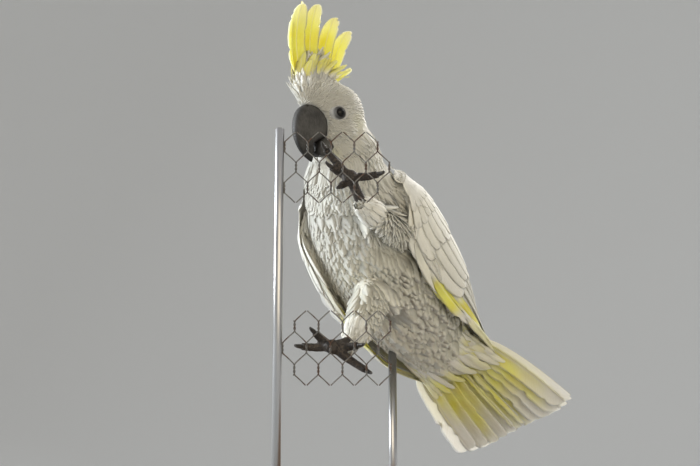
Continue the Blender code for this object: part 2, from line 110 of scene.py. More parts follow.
# Over so many places the wing's front end sinks down, until it lies this high over the neck
NECK_MELT, OVER_NECK = 0.7, 0.002
BACK = np.array((0.184, 0.756, 0.629))
HEAD_CENTRE = np.array(SPINE[0][0])
HEAD_TURN, HEAD_DIP = math.radians(38), math.radians(8)
FLAT = np.array((-math.cos(HEAD_TURN), -math.sin(HEAD_TURN), 0))
FORWARD = FLAT * math.cos(HEAD_DIP) - np.array((0, 0, math.sin(HEAD_DIP)))
LEFT = np.cross((0, 0, 1), FLAT)
UP = np.cross(FORWARD, LEFT)
EYE_PLACE, EYE_RADIUS = (0.0045, 0.0198, -0.0062), 0.0056
# Where the shin starts inside the plumage, and where it comes out of it
KNEE = {"left": (0.0052, -0.0300, 0.2896), "right": (-0.0226, -0.0120, 0.2475)}
HEEL = {"left": (-0.0335, -0.0900, 0.3061), "right": (-0.0432, -0.0800, 0.1869)}


def along(values, place):
    """A smooth reading of evenly numbered values at a fractional place."""
    last = len(values) - 1
    i = min(int(place), last - 1)
    u = place - i
    a, b, c, d = (np.array(values[min(max(k, 0), last)], float) for k in (i - 1, i, i + 1, i + 2))
    bend = (2 * a - 5 * b + 4 * c - d) * u**2 + (3 * b - a - 3 * c + d) * u**3
    return 0.5 * (2 * b + (c - a) * u + bend)


def spine_frame(place):
    """Centre, ways to the tail, left and back, and the half sizes, at a place on the spine."""
    centres = [row[0] for row in SPINE]
    ahead = along(centres, min(place + 0.05, TAIL_END)) - along(centres, max(place - 0.05, 0))
    tailward = unit(ahead)
    back = unit(BACK - tailward * (BACK @ tailward))
    sizes = along([row[1:] for row in SPINE], place)
    return along(centres, place), tailward, np.cross(tailward, back), back, sizes


def in_head(x, y, z):
    """A point given forward, left and up from the centre of the head."""
    return HEAD_CENTRE + FORWARD * x + LEFT * y + UP * z


def wing_point(side, place, u, lift=0.0, inner=False):
    """A point on the folded wing: u runs from its lower edge at -1 to its upper edge at 1."""
    places = [row[0] for row in WING]
    row = along([r[1:] for r in WING], float(np.interp(place, places, range(len(places)))))
    width, height, low, high, thick = row
    centre, _, left, back, sizes = spine_frame(min(place, TAIL_END))
    a = math.radians(low + (high - low) * (u + 1) / 2)
    depth = height if a > 0 else max(sizes[2] + 0.004, 0.010)
    melt = min(1.0, max(0.0, (places[0] - place) / NECK_MELT))
    width += (sizes[0] + OVER_NECK - width) * melt
    depth += (sizes[1] + OVER_NECK - depth) * melt
    sink = lift - (thick * (0.12 + 0.88 * (1 - min(1, abs(u)) ** 4)) if inner else 0)
    return centre + left * side * math.cos(a) * (width + sink) + back * math.sin(a) * (depth + sink)


def tail_half(share):
    """Half the width of the tail fan at a share of its length."""
    return TAIL_HALF[0] + (TAIL_HALF[1] - TAIL_HALF[0]) * share**0.62


def tail_point(share, u, lift=0.0):
    """A point on the tail fan: share runs from its root to its tips, u from its right to its left."""
    centre, _, left, back, _ = spine_frame(min(TAIL_ROOT + (TAIL_END - TAIL_ROOT) * share, TAIL_END))
    sideways = tail_half(share) * u + TAIL_SHIFT * share
    return centre + left * sideways + back * (lift - 0.006 * u * u * share)


print("head looks along", FORWARD.round(2), "and the tail points along", spine_frame(11)[1].round(2))

# %% [markdown]
# ## Camera and light
# A white bird needs a backdrop a little darker than itself, and light that rakes over it from behind and
# above, so that each feather's edge shows. A warm fill from the front keeps the belly's shade open.

# %% Camera
camera = shown("camera", bpy.data.cameras.new("camera"))
camera.location = (-0.045, -1.2737, 0.03)
camera.rotation_euler = (math.radians(102), 0, 0)
camera.data.sensor_width = 36
camera.data.lens = 70.35
camera.data.clip_start = 0.01
bpy.context.scene.camera = camera
print("lens", camera.data.lens, "mm")


# %% Lights and world
def soft_light(name, place, size, power, colour):
    """A square studio light that looks at the middle of the bird."""
    lamp = bpy.data.lights.new(name, "AREA")
    lamp.size = size
    lamp.energy = power
    lamp.color = colour
    obj = shown(name, lamp)
    obj.location = place
    obj.rotation_euler = (AIM - Vector(place)).to_track_quat("-Z", "Y").to_euler()


AIM = Vector((0.0, 0.0, 0.29))
soft_light("sky_behind", (0.70, 1.00, 1.20), 0.9, 24, (1.0, 0.99, 0.96))
soft_light("window_left", (-1.35, 0.10, 0.75), 0.8, 30, (0.92, 0.97, 1.0))
soft_light("front_fill", (0.5, -1.5, 0.5), 1.5, 14, (1.0, 0.86, 0.62))
world = bpy.data.worlds.new("studio")
bpy.context.scene.world = world
world.use_nodes = True
backdrop = world.node_tree.nodes["Background"]
backdrop.inputs["Color"].default_value = (0.88, 0.88, 0.87, 1)
backdrop.inputs["Strength"].default_value = 0.54
bpy.context.scene.view_settings.view_transform = "Standard"
print("lights:", sorted(lamp.name for lamp in bpy.data.lights))

# %% [markdown]
# ## Shader sums as plain Python
# A small class wraps a node socket. Adding or multiplying two of them writes the Math nodes, so a finish
# reads as a formula, and every other node comes from one method.


# %% A socket that can be added and multiplied
class Value:
    """A number, colour or vector that comes out of a shader node."""

    def __init__(self, tree, socket):
        self.tree = tree
        self.socket = socket

    def node(self, kind, settings=None, out=0, **inputs):
        """A new node of a kind, with its settings made first and its sockets given by name."""
        made = self.tree.nodes.new(kind)
        for key, value in (settings or {}).items():
            setattr(made, key, value)
        for key, value in inputs.items():
            numbered = key[0] == "i" and key[1:].isdigit()
            socket = made.inputs[int(key[1:]) if numbered else key.replace("_", " ")]
            if isinstance(value, Value):
                self.tree.links.new(value.socket, socket)
            else:
                socket.default_value = value
        return Value(self.tree, made.outputs[out])

    def maths(self, operation, other=0.0, first=None):
        a, b = (self, other) if first is None else (first, self)
        return self.node("ShaderNodeMath", {"operation": operation}, i0=a, i1=b)

    def __add__(self, other):
        return self.maths("ADD", other)

    def __radd__(self, other):
        return self.maths("ADD", other)

    def __sub__(self, other):
        return self.maths("SUBTRACT", other)

    def __rsub__(self, other):
        return self.maths("SUBTRACT", first=other)

    def __mul__(self, other):
        return self.maths("MULTIPLY", other)

    def __rmul__(self, other):
        return self.maths("MULTIPLY", other)

    def sin(self):
        return self.maths("SINE")

    def abs(self):
        return self.maths("ABSOLUTE")

    def clamp(self):
        return self.node("ShaderNodeClamp", None, i0=self)

    def step(self, low, high):
        """0 below low, 1 above high, and a soft rise between them."""
        settings = {"interpolation_type": "SMOOTHSTEP"}
        return self.node("ShaderNodeMapRange", settings, i0=self, i1=low, i2=high, i3=0.0, i4=1.0)

    def mix(self, low, high):
        """A colour from low to high as this value goes from 0 to 1."""
        tree = self.tree
        made = tree.nodes.new("ShaderNodeMix")
        made.data_type = "RGBA"
        tree.links.new(self.socket, made.inputs[0])
        for index, colour in ((6, low), (7, high)):
            if isinstance(colour, Value):
                tree.links.new(colour.socket, made.inputs[index])
            else:
                made.inputs[index].default_value = (*colour, 1)
        return Value(tree, made.outputs[2])

    def noise(self, scale, detail=3.0):
        """Cloudy noise read at this place."""
        settings = {"Scale": scale, "Detail": detail, "Roughness": 0.55}
        return self.node("ShaderNodeTexNoise", None, Vector=self, **settings)

    def cells(self, scale):
        """The distance to the nearest of many scattered points."""
        return self.node("ShaderNodeTexVoronoi", {"feature": "F1"}, "Distance", Vector=self, Scale=scale)

    def far_from(self, point):
        """The distance in metres between this place and a point."""
        return self.node("ShaderNodeVectorMath", {"operation": "DISTANCE"}, "Value", i0=self, i1=tuple(point))

    def part(self, letter):
        """The X, Y or Z of a vector."""
        return self.node("ShaderNodeSeparateXYZ", None, letter, i0=self)

    def stretched(self, scale):
        return self.node("ShaderNodeMapping", None, Vector=self, Scale=scale)

    def bump(self, strength, distance):
        return self.node("ShaderNodeBump", None, Height=self, Strength=strength, Distance=distance)


def finish(name, paint, **fixed):
    """A Principled material: paint fills its varying sockets from the place on the object."""
    made = bpy.data.materials.new(name)
    made.use_nodes = True
    tree = made.node_tree
    shader = tree.nodes["Principled BSDF"]
    for key, value in fixed.items():
        shader.inputs[key.replace("_", " ")].default_value = value
    spot = Value(tree, tree.nodes.new("ShaderNodeTexCoord").outputs["Object"])
    for key, value in paint(spot).items():
        tree.links.new(value.socket, shader.inputs[key.replace("_", " ")])
    return made


def read(spot, name, out="Fac"):
    """A number that each feather carries on its mesh."""
    return spot.node("ShaderNodeAttribute", {"attribute_name": name}, out)


def node_group(name, inputs, output):
    """A new geometry node tree, with its inputs as values by name."""
    tree = bpy.data.node_groups.new(name, "GeometryNodeTree")
    for key, kind in inputs.items():
        tree.interface.new_socket(key, in_out="INPUT", socket_type="NodeSocket" + kind)
    tree.interface.new_socket(output, in_out="OUTPUT", socket_type="NodeSocketGeometry")
    entry = tree.nodes.new("NodeGroupInput")
    return tree, {socket.name: Value(tree, socket) for socket in entry.outputs if socket.name}


def led_out(tree, result):
    """Links the result to the tree's way out."""
    tree.links.new(result.socket, tree.nodes.new("NodeGroupOutput").inputs[0])
    return tree


print("shader helpers ready")


# %% [markdown]
# ## Feather white, feather yellow, skin, horn and the rest
# A white feather is never flat white: barbs shine along the vane, the shaft is a little creamier, and
# light that has passed through its neighbours warms the shade. The yellow is in the feather itself, so
# each feather carries how yellow it is, and the same numbers colour the skin below. A faint warm tint on
# the belly rides on the same numbers as painted shade.


# %% Feather finish
WHITE, SHADE_WHITE = (0.87, 0.855, 0.79), (0.76, 0.735, 0.63)
YELLOW, DEEP_YELLOW = (0.87, 0.84, 0.13), (0.83, 0.72, 0.035)
SHAFT = (0.76, 0.72, 0.62)
BARBS_A_METRE = 1300


def feather_paint(spot):
    """White to yellow, with fine barbs that slant from the shaft and a soft cloudiness."""
    lay = read(spot, "lay", "Vector")
    across, down = lay.part("X"), lay.part("Y")
    along_barb = down - across.abs() * 0.9
    own = read(spot, "tone") * 40
    strand = spot.node("ShaderNodeCombineXYZ", None, i0=along_barb * BARBS_A_METRE, i1=across * 110, i2=own)
    barbs = strand.noise(1.0, 2)
    shaft = 1 - across.abs().step(0.0002, 0.0008)
    cloud = spot.noise(38, 4)
    tone = (read(spot, "tone") * 0.5 + cloud * 0.4 + barbs * 0.9 - 0.4).clamp()
    white = tone.mix(SHADE_WHITE, WHITE)
    gold = cloud.step(0.35, 0.75).mix(YELLOW, DEEP_YELLOW)
    colour = read(spot, "yellow").clamp().mix(white, gold)
    height = barbs * 1.6 + shaft * 0.8
    return {"Base_Color": (shaft * 0.30).mix(colour, SHAFT), "Normal": height.bump(0.45, 0.00035)}


SHEEN = {"Roughness": 0.62, "Sheen_Weight": 0.15, "Sheen_Roughness": 0.4, "Specular_IOR_Level": 0.25}
SOFT = {"Subsurface_Weight": 0.40, "Subsurface_Radius": (1.0, 0.95, 0.85), "Subsurface_Scale": 0.0045}
feather_white = finish("feather_white", feather_paint, **SHEEN, **SOFT)
print("feather finish:", len(feather_white.node_tree.nodes), "nodes")

# %% [markdown]
# ## One skin under the feathers
# A mounted bird's feathers grow from one skin, so the solids of flesh are copied, welded together by a
# voxel remesh, smoothed, and drawn in by the depth of the coat: a couple of millimetres on the face, more
# on the body. Round the eyes, the bill and the ankles the coat thins to nothing and the skin comes up to
# the surface.

# %% Joining the flesh
FLESH = ("head", "neck", "trunk", "thigh_left", "thigh_right", "wing_left", "wing_right")
DEPTHS = {"head": 0.0016, "neck": 0.0024, "trunk": 0.0031, "thigh": 0.0026, "wing": 0.0032}
LEAST_DEPTH, SAME_POINT, WING_FLESH_END = 0.0003, 1e-6, 7.0
SKIN_VOXEL, EVENED = 0.0022, 6
# Where the coat begins to thicken and where it is full, measured from the eye, the bill and the ankle
COAT_FROM = {"eye": (0.0085, 0.0120), "bill": (0.0005, 0.0050), "ankle": (0.0005, 0.0060)}


def emptied(made, name):
    """The mesh that a bmesh holds, as mesh data."""
    data = bpy.data.meshes.new(name)
    made.to_mesh(data)
    made.free()
    return data


def worked_in(obj):
    """Turns the object's modifiers into plain mesh."""
    graph = bpy.context.evaluated_depsgraph_get()
    mesh = bpy.data.meshes.new_from_object(obj.evaluated_get(graph), depsgraph=graph)
    obj.modifiers.clear()
    obj.data = mesh
    mesh.name = obj.name
    return obj


def cut_copy(node, place):
    """A copy of a solid that ends at a place on the spine."""
    mesh = bmesh.new()
    mesh.from_mesh(NODES[node].data)
    bmesh.ops.remove_doubles(mesh, verts=mesh.verts, dist=SAME_POINT)
    centre, tailward = spine_frame(place)[:2]
    parts = mesh.verts[:] + mesh.edges[:] + mesh.faces[:]
    bmesh.ops.bisect_plane(mesh, geom=parts, plane_co=centre, plane_no=tailward, clear_outer=True)
    bmesh.ops.holes_fill(mesh, edges=mesh.edges, sides=0)
    return emptied(mesh, "cut")


def welded(name, nodes, voxel, smoothing, extra=(), ends=()):
    """Copies of some solids, with extra blobs, made one closed skin."""
    mesh = bmesh.new()
    for node in nodes:
        mesh.from_mesh(cut_copy(node, ends[node]) if node in ends else NODES[node].data)
    bmesh.ops.remove_doubles(mesh, verts=mesh.verts, dist=SAME_POINT)
    for centre, sizes in extra:
        axes = Matrix([FORWARD, LEFT, UP]).transposed().to_4x4()
        place = Matrix.Translation(centre) @ axes @ Matrix.Diagonal((*sizes, 1))
        bmesh.ops.create_icosphere(mesh, subdivisions=3, radius=1, matrix=place)
    made = shown(name, emptied(mesh, name))
    made.modifiers.new("weld", "REMESH").mode = "VOXEL"
    made.modifiers["weld"].voxel_size = voxel
    made.modifiers.new("smooth", "SMOOTH").iterations = smoothing
    worked_in(made).data.shade_smooth()
    return made


def vertices(mesh, key="co"):
    """The places of a mesh's points, or their normals, as a table."""
    data = np.empty(len(mesh.vertices) * 3)
    if key == "co":
        mesh.vertices.foreach_get("co", data)
    else:
        mesh.vertex_normals.foreach_get("vector", data)
    return data.reshape(-1, 3)


def tree_of(*nodes):
    """The surface of some solids, ready to be asked for its nearest point."""
    mesh = bmesh.new()
    for node in nodes:
        mesh.from_mesh(NODES[node].data)
    tree = BVHTree.FromBMesh(mesh)
    mesh.free()
    return tree


def gap_to(tree, points):
    return np.array([tree.find_nearest(Vector(p))[3] for p in points])


RIDGE = (in_head(0.011, 0, 0.027), (0.0215, 0.0100, 0.0155))
skin = welded("skin", FLESH, SKIN_VOXEL, 8, [RIDGE], {f"wing_{side}": WING_FLESH_END for side, _ in SIDES})
spots, outward = vertices(skin.data), vertices(skin.data, "normal")
gaps = np.stack([gap_to(tree_of(node), spots) for node in FLESH])
part_of = gaps.argmin(0)
depth = np.array([DEPTHS[node.split("_")[0]] for node in FLESH])[part_of]
eyes = {side: in_head(EYE_PLACE[0], sign * EYE_PLACE[1], EYE_PLACE[2]) for side, sign in SIDES}
from_eye = np.minimum(*(np.linalg.norm(spots - eye, axis=1) for eye in eyes.values()))
from_bill = gap_to(tree_of("bill_upper", "bill_lower"), spots)
from_shank = gap_to(tree_of("shank_left", "shank_right"), spots)
coat = np.minimum(smoothstep(*COAT_FROM["eye"], from_eye), smoothstep(*COAT_FROM["bill"], from_bill))
coat = np.minimum(coat, smoothstep(*COAT_FROM["ankle"], from_shank))
edges = np.array([edge.vertices for edge in skin.data.edges])
depth = LEAST_DEPTH + depth * coat
for _ in range(EVENED):
    total, count = depth.copy(), np.ones(len(depth))
    for a, b in ((0, 1), (1, 0)):
        np.add.at(total, edges[:, a], depth[edges[:, b]])
        np.add.at(count, edges[:, a], 1)
    depth = total / count
sunk = spots - outward * depth[:, None]
skin.data.vertices.foreach_set("co", sunk.ravel())
skin.data.update()
coat_depths = [round(x * 1000, 2) for x in (depth.min(), depth.max())]
print("skin:", len(spots), "vertices, coat", coat_depths, "mm deep")

# %% [markdown]
# ## Where each feather grows and which way it lies
# Real contour feathers sit in a regular pattern, closer where they are small. Points are thrown on the
# skin at random and kept only where no neighbour is too near, which gives even cover without rows. Each
# point looks up its place along the spine or round the head for its direction, so the coat flows from the
# bill to the tail.

# %% Reading the body at many points
TABLE = np.linspace(0, TAIL_END, 241)
ROWS = [spine_frame(place) for place in TABLE]
CENTRES, TAILWARD, LEFTWARD, BACKWARD = (np.array([row[k] for row in ROWS]) for k in range(4))


def fitted(vectors):
    """Each row of a table of vectors, made one long."""
    return vectors / np.maximum(np.linalg.norm(vectors, axis=1), 1e-9)[:, None]


def body_reading(points):
    """For each point: its place on the spine, the ways to tail and left there, and its angle round it."""
    nearest = np.array([np.linalg.norm(CENTRES - p, axis=1).argmin() for p in points])
    off = points - CENTRES[nearest]
    angle = np.arctan2((off * BACKWARD[nearest]).sum(1), (off * LEFTWARD[nearest]).sum(1))
    return TABLE[nearest], TAILWARD[nearest], LEFTWARD[nearest], angle


def head_reading(points):
    """How far each point is forward, left and up from the centre of the head."""
    return (points - HEAD_CENTRE) @ np.stack([FORWARD, LEFT, UP]).T


def near_to(points, centre, near, far):
    """1 within near of a point, falling to 0 at far."""
    return 1 - smoothstep(near, far, np.linalg.norm(points - centre, axis=1))


def yellow_and_shade_at(points):
    """How yellow the plumage is at each point, with a faint warm tint on the belly that is painted shade."""
    return sum(much * near_to(points, centre, near, far) for much, centre, near, far in YELLOW_AND_SHADE_MARKS)


# How yellow, where, and how far the full colour and the last of it reach; the belly's faint tint is painted
# warm shade
YELLOW_AND_SHADE_MARKS = (
    (0.16, in_head(-0.013, 0.027, -0.014), 0.004, 0.014),  # behind each eye
    (0.16, in_head(-0.013, -0.027, -0.014), 0.004, 0.014),
    (0.22, in_head(0.006, 0.008, -0.040), 0.002, 0.009),  # the chin
    (0.30, in_head(0.004, 0.0, 0.047), 0.004, 0.018),  # the crest's foot
    (0.12, spine_frame(TAIL_ROOT)[0], 0.025, 0.100),  # round the tail's root
    # painted warm shade: a faint yellow tint on the white belly
    (0.05, spine_frame(6.5)[0] - BACK * 0.05, 0.030, 0.090),  # the belly
)


class Roots:
    """Feather roots on one part of the skin, with what each feather needs to grow."""

    def __init__(self, chosen, spacing, seed):
        """Throws points on the chosen faces and keeps those that are far enough apart."""
        self.rng = np.random.default_rng(seed)
        faces, areas = TRIANGLES[chosen], AREAS[chosen]
        count = int(areas.sum() / (spacing * spacing) * TRIES)
        picked = self.rng.choice(len(faces), count, p=areas / areas.sum())
        a, b = self.rng.random((2, count))
        flip = a + b > 1
        a[flip], b[flip] = 1 - a[flip], 1 - b[flip]
        weights = np.stack([1 - a - b, a, b], 1)[..., None]
        corners = faces[picked]
        points = (sunk[corners] * weights).sum(1)
        rise = fitted((SKIN_NORMALS[corners] * weights).sum(1))
        gap = spacing * (0.55 + 0.45 * THINNING[corners].mean(1))
        cells, kept = {}, []
        for i, (p, near) in enumerate(zip(points.tolist(), gap.tolist())):
            key = tuple(int(x // spacing) for x in p)
            if self.free(cells, key, p, near * near):
                cells.setdefault(key, []).append(p)
                kept.append(i)
        self.points, self.rise, self.thin = points[kept], rise[kept], gap[kept] / spacing
        self.place, self.tailward, self.leftward, self.angle = body_reading(self.points)

    @staticmethod
    def free(cells, key, p, limit):
        """Whether no kept point in this cell or the cells round it is nearer than the limit."""
        for x, y, z in NEIGHBOURS:
            for q in cells.get((key[0] + x, key[1] + y, key[2] + z), ()):
                if (p[0] - q[0]) ** 2 + (p[1] - q[1]) ** 2 + (p[2] - q[2]) ** 2 < limit:
                    return False
        return True

    def map_round(self):
        """An unwrap of a tube: the angle round the spine and the place along it."""
        return np.column_stack([self.angle, self.place])


TRIES = 7  # points thrown for each one that might stay
NEIGHBOURS = [(x, y, z) for x in (-1, 0, 1) for y in (-1, 0, 1) for z in (-1, 0, 1)]
NAKED_EYE, NAKED_BILL, NAKED_ANKLE = 0.0066, 0.0006, 0.001
# Feathers begin this far from the eye, and take so far again to grow to full size
THIN_FROM, THIN_OVER = 0.008, 0.022
skin.data.calc_loop_triangles()
TRIANGLES = np.array([triangle.vertices for triangle in skin.data.loop_triangles])
SKIN_NORMALS = vertices(skin.data, "normal")
corner_a, corner_b, corner_c = (sunk[TRIANGLES[:, k]] for k in range(3))
AREAS = np.linalg.norm(np.cross(corner_b - corner_a, corner_c - corner_a), axis=1) / 2
THINNING = smoothstep(0.0, THIN_OVER, np.minimum(np.minimum(from_eye - THIN_FROM, from_bill), from_shank))
MIDDLES = (corner_a + corner_b + corner_c) / 3
FACE_PART = part_of[TRIANGLES[:, 0]]
FACE_PLACE, _, _, FACE_ANGLE = body_reading(MIDDLES)
NAKED = (from_eye[TRIANGLES].min(1) < NAKED_EYE) | (from_bill[TRIANGLES].min(1) < NAKED_BILL)
NAKED |= from_shank[TRIANGLES].min(1) < NAKED_ANKLE
print("skin area:", round(AREAS.sum() * 1e4), "square cm")

# %% [markdown]
# ## The small vane and the tree that plants it
# One vane is a thin lens of thirty faces: a shaft ridge above, a hollow below and a rounded tip. A node
# tree sets a copy on every root, turns it to the lie, leans it off the skin and realizes the copies. It
# also writes the bake map: each feather is a tiny patch at its root's place on the unwrap.


# %% The vane
def mesh_of(name, verts, faces, edges=()):
    mesh = bpy.data.meshes.new(name)
    mesh.from_pydata(verts, edges, faces)
    return mesh


def noted(mesh, name, values):
    """Keeps one number or one vector for each point of a mesh."""
    values = np.ascontiguousarray(values, np.float32)
    kind, key = ("FLOAT", "value") if values.ndim == 1 else ("FLOAT_VECTOR", "vector")
    mesh.attributes.new(name, kind, "POINT").data.foreach_set(key, values.ravel())


def faced_out(mesh):
    """Turns the faces of a closed mesh outwards and shades it smooth."""
    made = bmesh.new()
    made.from_mesh(mesh)
    bmesh.ops.recalc_face_normals(made, faces=made.faces)
    made.to_mesh(mesh)
    made.free()
    mesh.shade_smooth()


def vane(name, profile, notch, cup, bend):
    """A feather a metre long and a metre wide at its widest, lying along Y with its root at the origin."""
    t = 1 - (1 - np.linspace(0, 1, VANE_ROWS + 1)) ** 1.5
    half = np.interp(t, np.linspace(0, 1, len(profile)), profile) * 0.5
    verts, lay = [], []
    for i, (s, w) in enumerate(zip(t, half)):
        left, right = (1 - notch * (i % 3 == k and s > 0.5) for k in (1, 2))
        sweep = 0.16 * w * (1 - s)
        drop = bend * s * s
        for x in (-w * left, w * right):
            verts += [(x, s + sweep, -cup * w * 2 - drop)]
            lay += [(x, s)]
            if x < 0:
                verts += [(0, s, 0.035 - drop), (0, s, -0.03 - drop)]
                lay += [(0, s), (0, s)]
    faces = []
    for i in range(VANE_ROWS):
        a, b = 4 * i, 4 * i + 4
        faces += [(a, a + 1, b + 1, b), (a + 1, a + 3, b + 3, b + 1)]
        faces += [(a + 2, a, b, b + 2), (a + 3, a + 2, b + 2, b + 3)]
    end = 4 * VANE_ROWS
    faces += [(0, 2, 3, 1), (end, end + 1, end + 3, end + 2)]
    mesh = mesh_of(name, verts, faces)
    noted(mesh, "spot", [(x, y, 0) for x, y in lay])
    faced_out(mesh)
    return shown(name, mesh)


VANE_ROWS = 7
VANES = {
    "scale": vane("scale_vane", (0.34, 0.66, 0.88, 0.99, 1.0, 0.93, 0.80, 0.58, 0.26), 0.05, 0.10, 0.20),
    "soft": vane("soft_vane", (0.30, 0.60, 0.84, 0.97, 1.0, 0.92, 0.76, 0.52, 0.20), 0.10, 0.12, 0.22),
}
print("faces of a vane:", {key: len(obj.data.polygons) for key, obj in VANES.items()})


# %% The planting tree
PATCH = 0.003  # how wide one feather is on the bake map
SHAKE_AXES = (0.25, 0.5, 1.0)  # how much a feather rolls, nods and turns for a wobble of one


def planting_tree():
    """Points with rise, lie, size and root attributes in, realized feathers out."""
    inputs = {"Roots": "Geometry", "Vane": "Object", "Wobble": "Float", "Seed": "Int", "Finish": "Material"}
    tree, gate = node_group("plant_feathers", inputs, "Feathers")
    roots, vane_used, wobble = (gate[key] for key in ("Roots", "Vane", "Wobble"))

    def attribute(name):
        return roots.node("GeometryNodeInputNamedAttribute", {"data_type": "FLOAT_VECTOR"}, Name=name)

    def vector(operation, a, **other):
        return roots.node("ShaderNodeVectorMath", {"operation": operation}, i0=a, **other)

    def stored(shape, name, value, kind, domain):
        kinds = {"data_type": kind, "domain": domain}
        return shape.node("GeometryNodeStoreNamedAttribute", kinds, Geometry=shape, Name=name, Value=value)

    axes = {"primary_axis": "Z", "secondary_axis": "Y"}
    turn = roots.node("FunctionNodeAxesToRotation", axes, i0=attribute("rise"), i1=attribute("lie"))
    spread = vector("SCALE", SHAKE_AXES, Scale=wobble)
    less = vector("SCALE", [-x for x in SHAKE_AXES], Scale=wobble)
    limits = {"i0": less, "i1": spread, "Seed": gate["Seed"]}
    shake = roots.node("FunctionNodeRandomValue", {"data_type": "FLOAT_VECTOR"}, **limits)
    turn = turn.node("FunctionNodeRotateRotation", {"rotation_space": "LOCAL"}, i0=turn, i1=shake)
    own_space = {"transform_space": "ORIGINAL"}
    piece = roots.node("GeometryNodeObjectInfo", own_space, "Geometry", Object=vane_used)
    copies = {"Points": roots, "Instance": piece, "Rotation": turn, "Scale": attribute("size")}
    grown = piece.node("GeometryNodeInstanceOnPoints", None, **copies)
    grown = grown.node("GeometryNodeRealizeInstances", None, Geometry=grown)
    patch = vector("SCALE", attribute("spot"), Scale=PATCH)
    grown = stored(grown, "OFBake", vector("ADD", attribute("root"), i1=patch), "FLOAT2", "CORNER")
    lay = vector("MULTIPLY", attribute("spot"), i1=attribute("size"))
    grown = stored(grown, "lay", lay, "FLOAT_VECTOR", "POINT")
    return led_out(tree, grown.node("GeometryNodeSetMaterial", None, Geometry=grown, Material=gate["Finish"]))


PLANTING = planting_tree()
WINGS = tree_of("wing_left", "wing_right")
COAT_TRIANGLES = {}


def run_nodes(obj, tree, **given):
    """Runs a node tree on an object with the given inputs and keeps the result as plain mesh."""
    modifier = obj.modifiers.new("nodes", "NODES")
    modifier.node_group = tree
    for item in tree.interface.items_tree:
        if item.in_out == "INPUT" and item.name in given:
            modifier[item.identifier] = given[item.name]
    return worked_in(obj)


def plant(name, roots, lie, size, lean, kind, wobble, seed, uv, least=0.35):
    """Grows one piece of the coat: lie is each feather's way, lean how far it stands off the skin."""
    lie = fitted(lie)
    lie = lie - roots.rise * (lie * roots.rise).sum(1)[:, None]
    flat = np.linalg.norm(lie, axis=1) > least
    told = (roots.points, roots.rise, fitted(lie), size, lean, uv)
    points, rise, lie, size, lean, uv = (data[flat] for data in told)
    side = np.cross(lie, rise)
    rise = fitted(rise - lie * np.tan(lean)[:, None])
    lie = fitted(np.cross(rise, side))
    if "wing" not in name:
        ways = zip(points, lie, size[:, 1])
        clear = [WINGS.ray_cast(Vector(p), Vector(way), reach)[0] is None for p, way, reach in ways]
        points, rise, lie, size, uv = (data[clear] for data in (points, rise, lie, size, uv))
    low, high = uv.min(0), uv.max(0)
    place = 0.02 + 0.95 * (uv - low) / np.maximum(high - low, 1e-9)
    mesh = mesh_of(name, points.tolist(), [])
    noted(mesh, "rise", rise)
    noted(mesh, "lie", lie)
    noted(mesh, "size", size)
    noted(mesh, "root", np.column_stack([place, np.zeros(len(points))]))
    noted(mesh, "tone", roots.rng.random(len(points)))
    noted(mesh, "yellow", yellow_and_shade_at(points))
    obj = shown(name, mesh)
    run_nodes(obj, PLANTING, Vane=VANES[kind], Wobble=wobble, Seed=seed, Finish=feather_white)
    for key in ("rise", "lie", "size", "root", "spot"):
        if key in obj.data.attributes:
            obj.data.attributes.remove(obj.data.attributes[key])
    obj.data.calc_loop_triangles()
    COAT_TRIANGLES[name] = len(obj.data.loop_triangles)
    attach(obj, "root")
    print(name, len(points), "feathers,", COAT_TRIANGLES[name], "triangles")


print("planting tree ready")

# %% [markdown]
# ## The coat, part by part
# The smallest feathers are on the face, with a short upright tuft at the crest's foot. They grow to three
# centimetres on the back and belly. On the thighs they are small: short and neat on the raised leg, a
# little longer on the leg that stands.


# %% Head and neck
def sized(grow, width, length, thick):
    """The three sizes of each feather, from one number that grows them together."""
    return np.column_stack([width * grow, length * grow, thick * grow])


# The space between feather roots
SPACING = {"head": 0.00128, "neck": 0.0019, "thigh": 0.0019, "wing": 0.0022}
is_part = {node: FACE_PART == i for i, node in enumerate(FLESH)}
CROWN_FROM, BILL_MIDDLE = 0.004, in_head(0.036, 0, -0.008)
in_crown = head_reading(MIDDLES)[:, 2] > CROWN_FROM
for name, chosen, seed in (("coat_crown", in_crown, 11), ("coat_cheeks", ~in_crown, 10)):
    roots = Roots(is_part["head"] & ~NAKED & chosen, SPACING["head"], seed)
    ahead, aside, above = head_reading(roots.points).T
    away = fitted(roots.points - BILL_MIDDLE)
    blend = smoothstep(0.010, 0.034, -ahead - above * 0.3)[:, None]
    lie = away * (1 - blend) + roots.tailward * blend
    tuft = smoothstep(0.004, 0.012, ahead) * smoothstep(0.006, 0.013, above)
    tuft = tuft * (1 - smoothstep(0.006, 0.012, np.abs(aside)))
    lie = fitted(lie) * (1 - tuft[:, None]) + (UP - 0.15 * FORWARD) * tuft[:, None]
    grow = roots.thin * (0.75 + 0.45 * smoothstep(-0.010, 0.035, -ahead))
    grow = grow * roots.rng.uniform(0.85, 1.15, len(grow))
    grow = grow * (1 + (1.7 + 0.6 * roots.rng.random(len(grow))) * tuft)
    size = sized(grow, 0.0040, 0.0098, 0.0018)
    size[:, 0] *= 1 - 0.25 * tuft
    size[:, 2] *= 1 - 0.4 * tuft
    ball_map = np.column_stack([np.arctan2(aside, -ahead), above])
    plant(name, roots, lie, size, 0.055 + 0.20 * tuft, "soft", 0.09, seed, ball_map)

roots = Roots(is_part["neck"] & ~NAKED, SPACING["neck"], 12)
grow = 0.75 + 0.35 * smoothstep(1.5, 4.0, roots.place)
size, lean = sized(grow, 0.0090, 0.0190, 0.0026), np.full(len(grow), 0.056)
plant("coat_neck", roots, roots.tailward, size, lean, "soft", 0.05, 2, roots.map_round())


